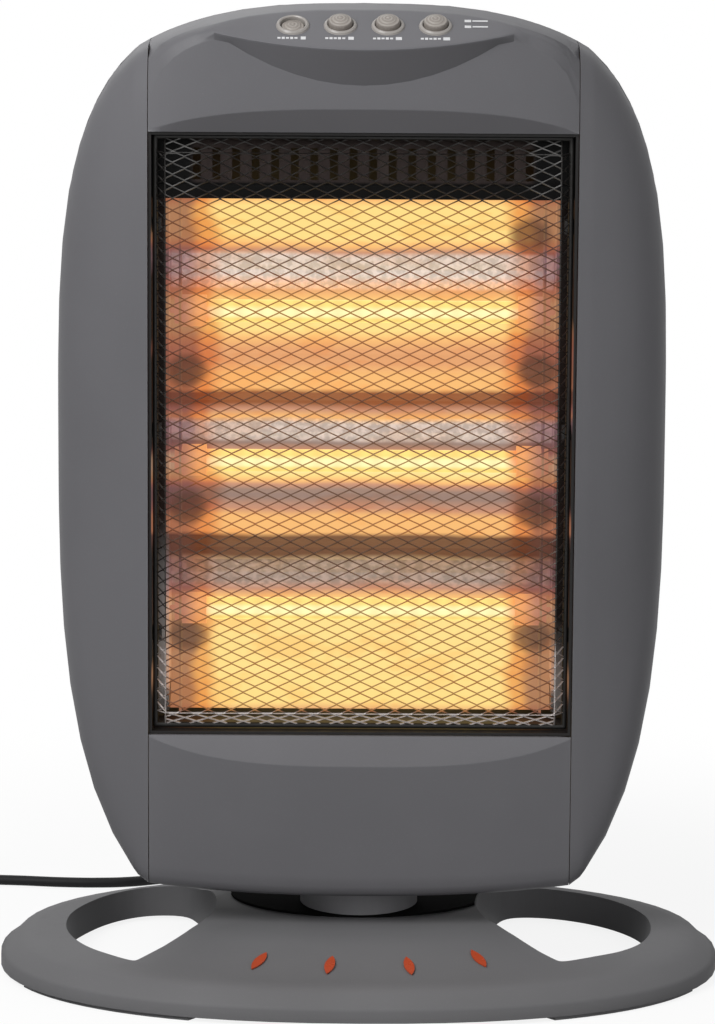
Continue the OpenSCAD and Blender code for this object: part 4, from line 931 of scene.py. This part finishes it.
def console_marks():
    """Printed dashes and a block under each button, and two lines beside them."""
    under, dash_pitch, film, lift = 0.0094, 0.0022, 0.00008, 0.00004
    bars = []
    for k in range(BUTTONS):
        x = (k - (BUTTONS - 1) / 2) * BUTTON_PITCH
        for j in range(5):
            dash_h = 0.0015 + 0.0004 * (j % 2)
            bars.append((x - 0.0070 + j * dash_pitch, under, 0.0016, dash_h))
        bars.append((x + 0.0056, under, 0.0026 + 0.0003 * k, 0.0027))
    for up in (0.0262, 0.0208):
        bars += [(0.0540, up, 0.0034, 0.0022), (0.0604, up, 0.0080, 0.0012)]
    pieces = []
    for x, up, wide, high in bars:
        nothing_selected()
        bpy.ops.mesh.primitive_plane_add(size=1.0, location=on_console(x, up, lift),
                                         rotation=(SLOPE, 0, 0))
        bar = bpy.context.object
        bar.scale = (wide, high, 1)
        pieces.append(bar)
    marks = joined(pieces)
    raised = marks.modifiers.new("ink_film", "SOLIDIFY")
    raised.thickness, raised.offset = film, 1.0
    keep_modifiers(marks)
    marks.data.materials.append(FINISHES["marks"])
    return finished(marks, "console_marks", "head")


console_marks()


# ------------------------------------------------------------------ floor, surround, lamps
def pale_floor():
    """White where it is looked at, dark grey to bounced light, with the heater's shadow."""
    nothing_selected()
    bpy.ops.mesh.primitive_plane_add(size=14, location=(0, 0, 0))
    floor = bpy.context.object
    floor.name = "floor"
    look = Look("pale_floor")
    seen, glossy, through_glass = look.rays()
    x, y, _ = look.xyz()
    near, far = 0.24, 0.62
    away = ((x * x + y * y) ** 0.5).between(near, far, 0.86, 1.0)
    paper = look.add("ShaderNodeBsdfDiffuse", None,
                     {"Color": look.blend(seen, (0.15, 0.15, 0.15), (0.97, 0.97, 0.97))})
    white = look.add("ShaderNodeEmission")
    mix = look.add("ShaderNodeMixShader", None,
                   {0: (seen * away).most(glossy.most(through_glass) * 0.7), 1: paper, 2: white})
    look.add("ShaderNodeOutputMaterial", None, {"Surface": mix})
    floor.data.materials.append(look.mat)


def white_surround():
    """White behind the heater; as light, brighter above than below."""
    world = bpy.data.worlds.new("studio")
    bpy.context.scene.world = world
    world.use_nodes = True
    look = Look("studio", world.node_tree)
    seen, glossy, through_glass = look.rays()
    ray = look.add("ShaderNodeTexCoord", out="Generated")
    up = look.add("ShaderNodeSeparateXYZ", None, [ray], out=2)
    lit = look.add("ShaderNodeBackground", None,
                   {"Strength": up.between(-0.25, 0.9, 0.08, 0.50)})
    plain = look.add("ShaderNodeBackground", None, {"Color": (1, 1, 1), "Strength": 1.0})
    mix = look.add("ShaderNodeMixShader", None,
                   {0: seen.most(glossy.most(through_glass) * 0.6), 1: lit, 2: plain})
    look.add("ShaderNodeOutputWorld", None, {"Surface": mix})


def soft_lamp(name, place, aim, size, power):
    """A rectangular lamp that looks at a point; power in watts."""
    lamp = bpy.data.lights.new(name, "AREA")
    lamp.shape, lamp.size, lamp.size_y, lamp.energy = "RECTANGLE", size[0], size[1], power
    obj = bpy.data.objects.new(name, lamp)
    bpy.context.scene.collection.objects.link(obj)
    obj.location = place
    obj.rotation_euler = (Vector(aim) - Vector(place)).to_track_quat("-Z", "Y").to_euler()


pale_floor()
white_surround()
soft_lamp("key", (-0.9, -1.15, 1.35), aim=(0, 0, 0.30), size=(0.8, 0.8), power=23.5)
soft_lamp("fill", (1.2, -1.7, 1.0), aim=(0, 0, 0.28), size=(1.2, 1.2), power=7.5)
soft_lamp("low", (0.1, -2.2, 0.16), aim=(0, 0, 0.10), size=(1.4, 0.3), power=2.3)
soft_lamp("top", (0, 0.2, 1.7), aim=(0, 0, 0.3), size=(1.2, 0.8), power=1.5)
soft_lamp("back", (-0.5, 1.8, 1.3), aim=(0, 0, 0.25), size=(1.2, 1.2), power=4)
bpy.context.scene.view_settings.view_transform = "Standard"

bpy.context.view_layer.update()
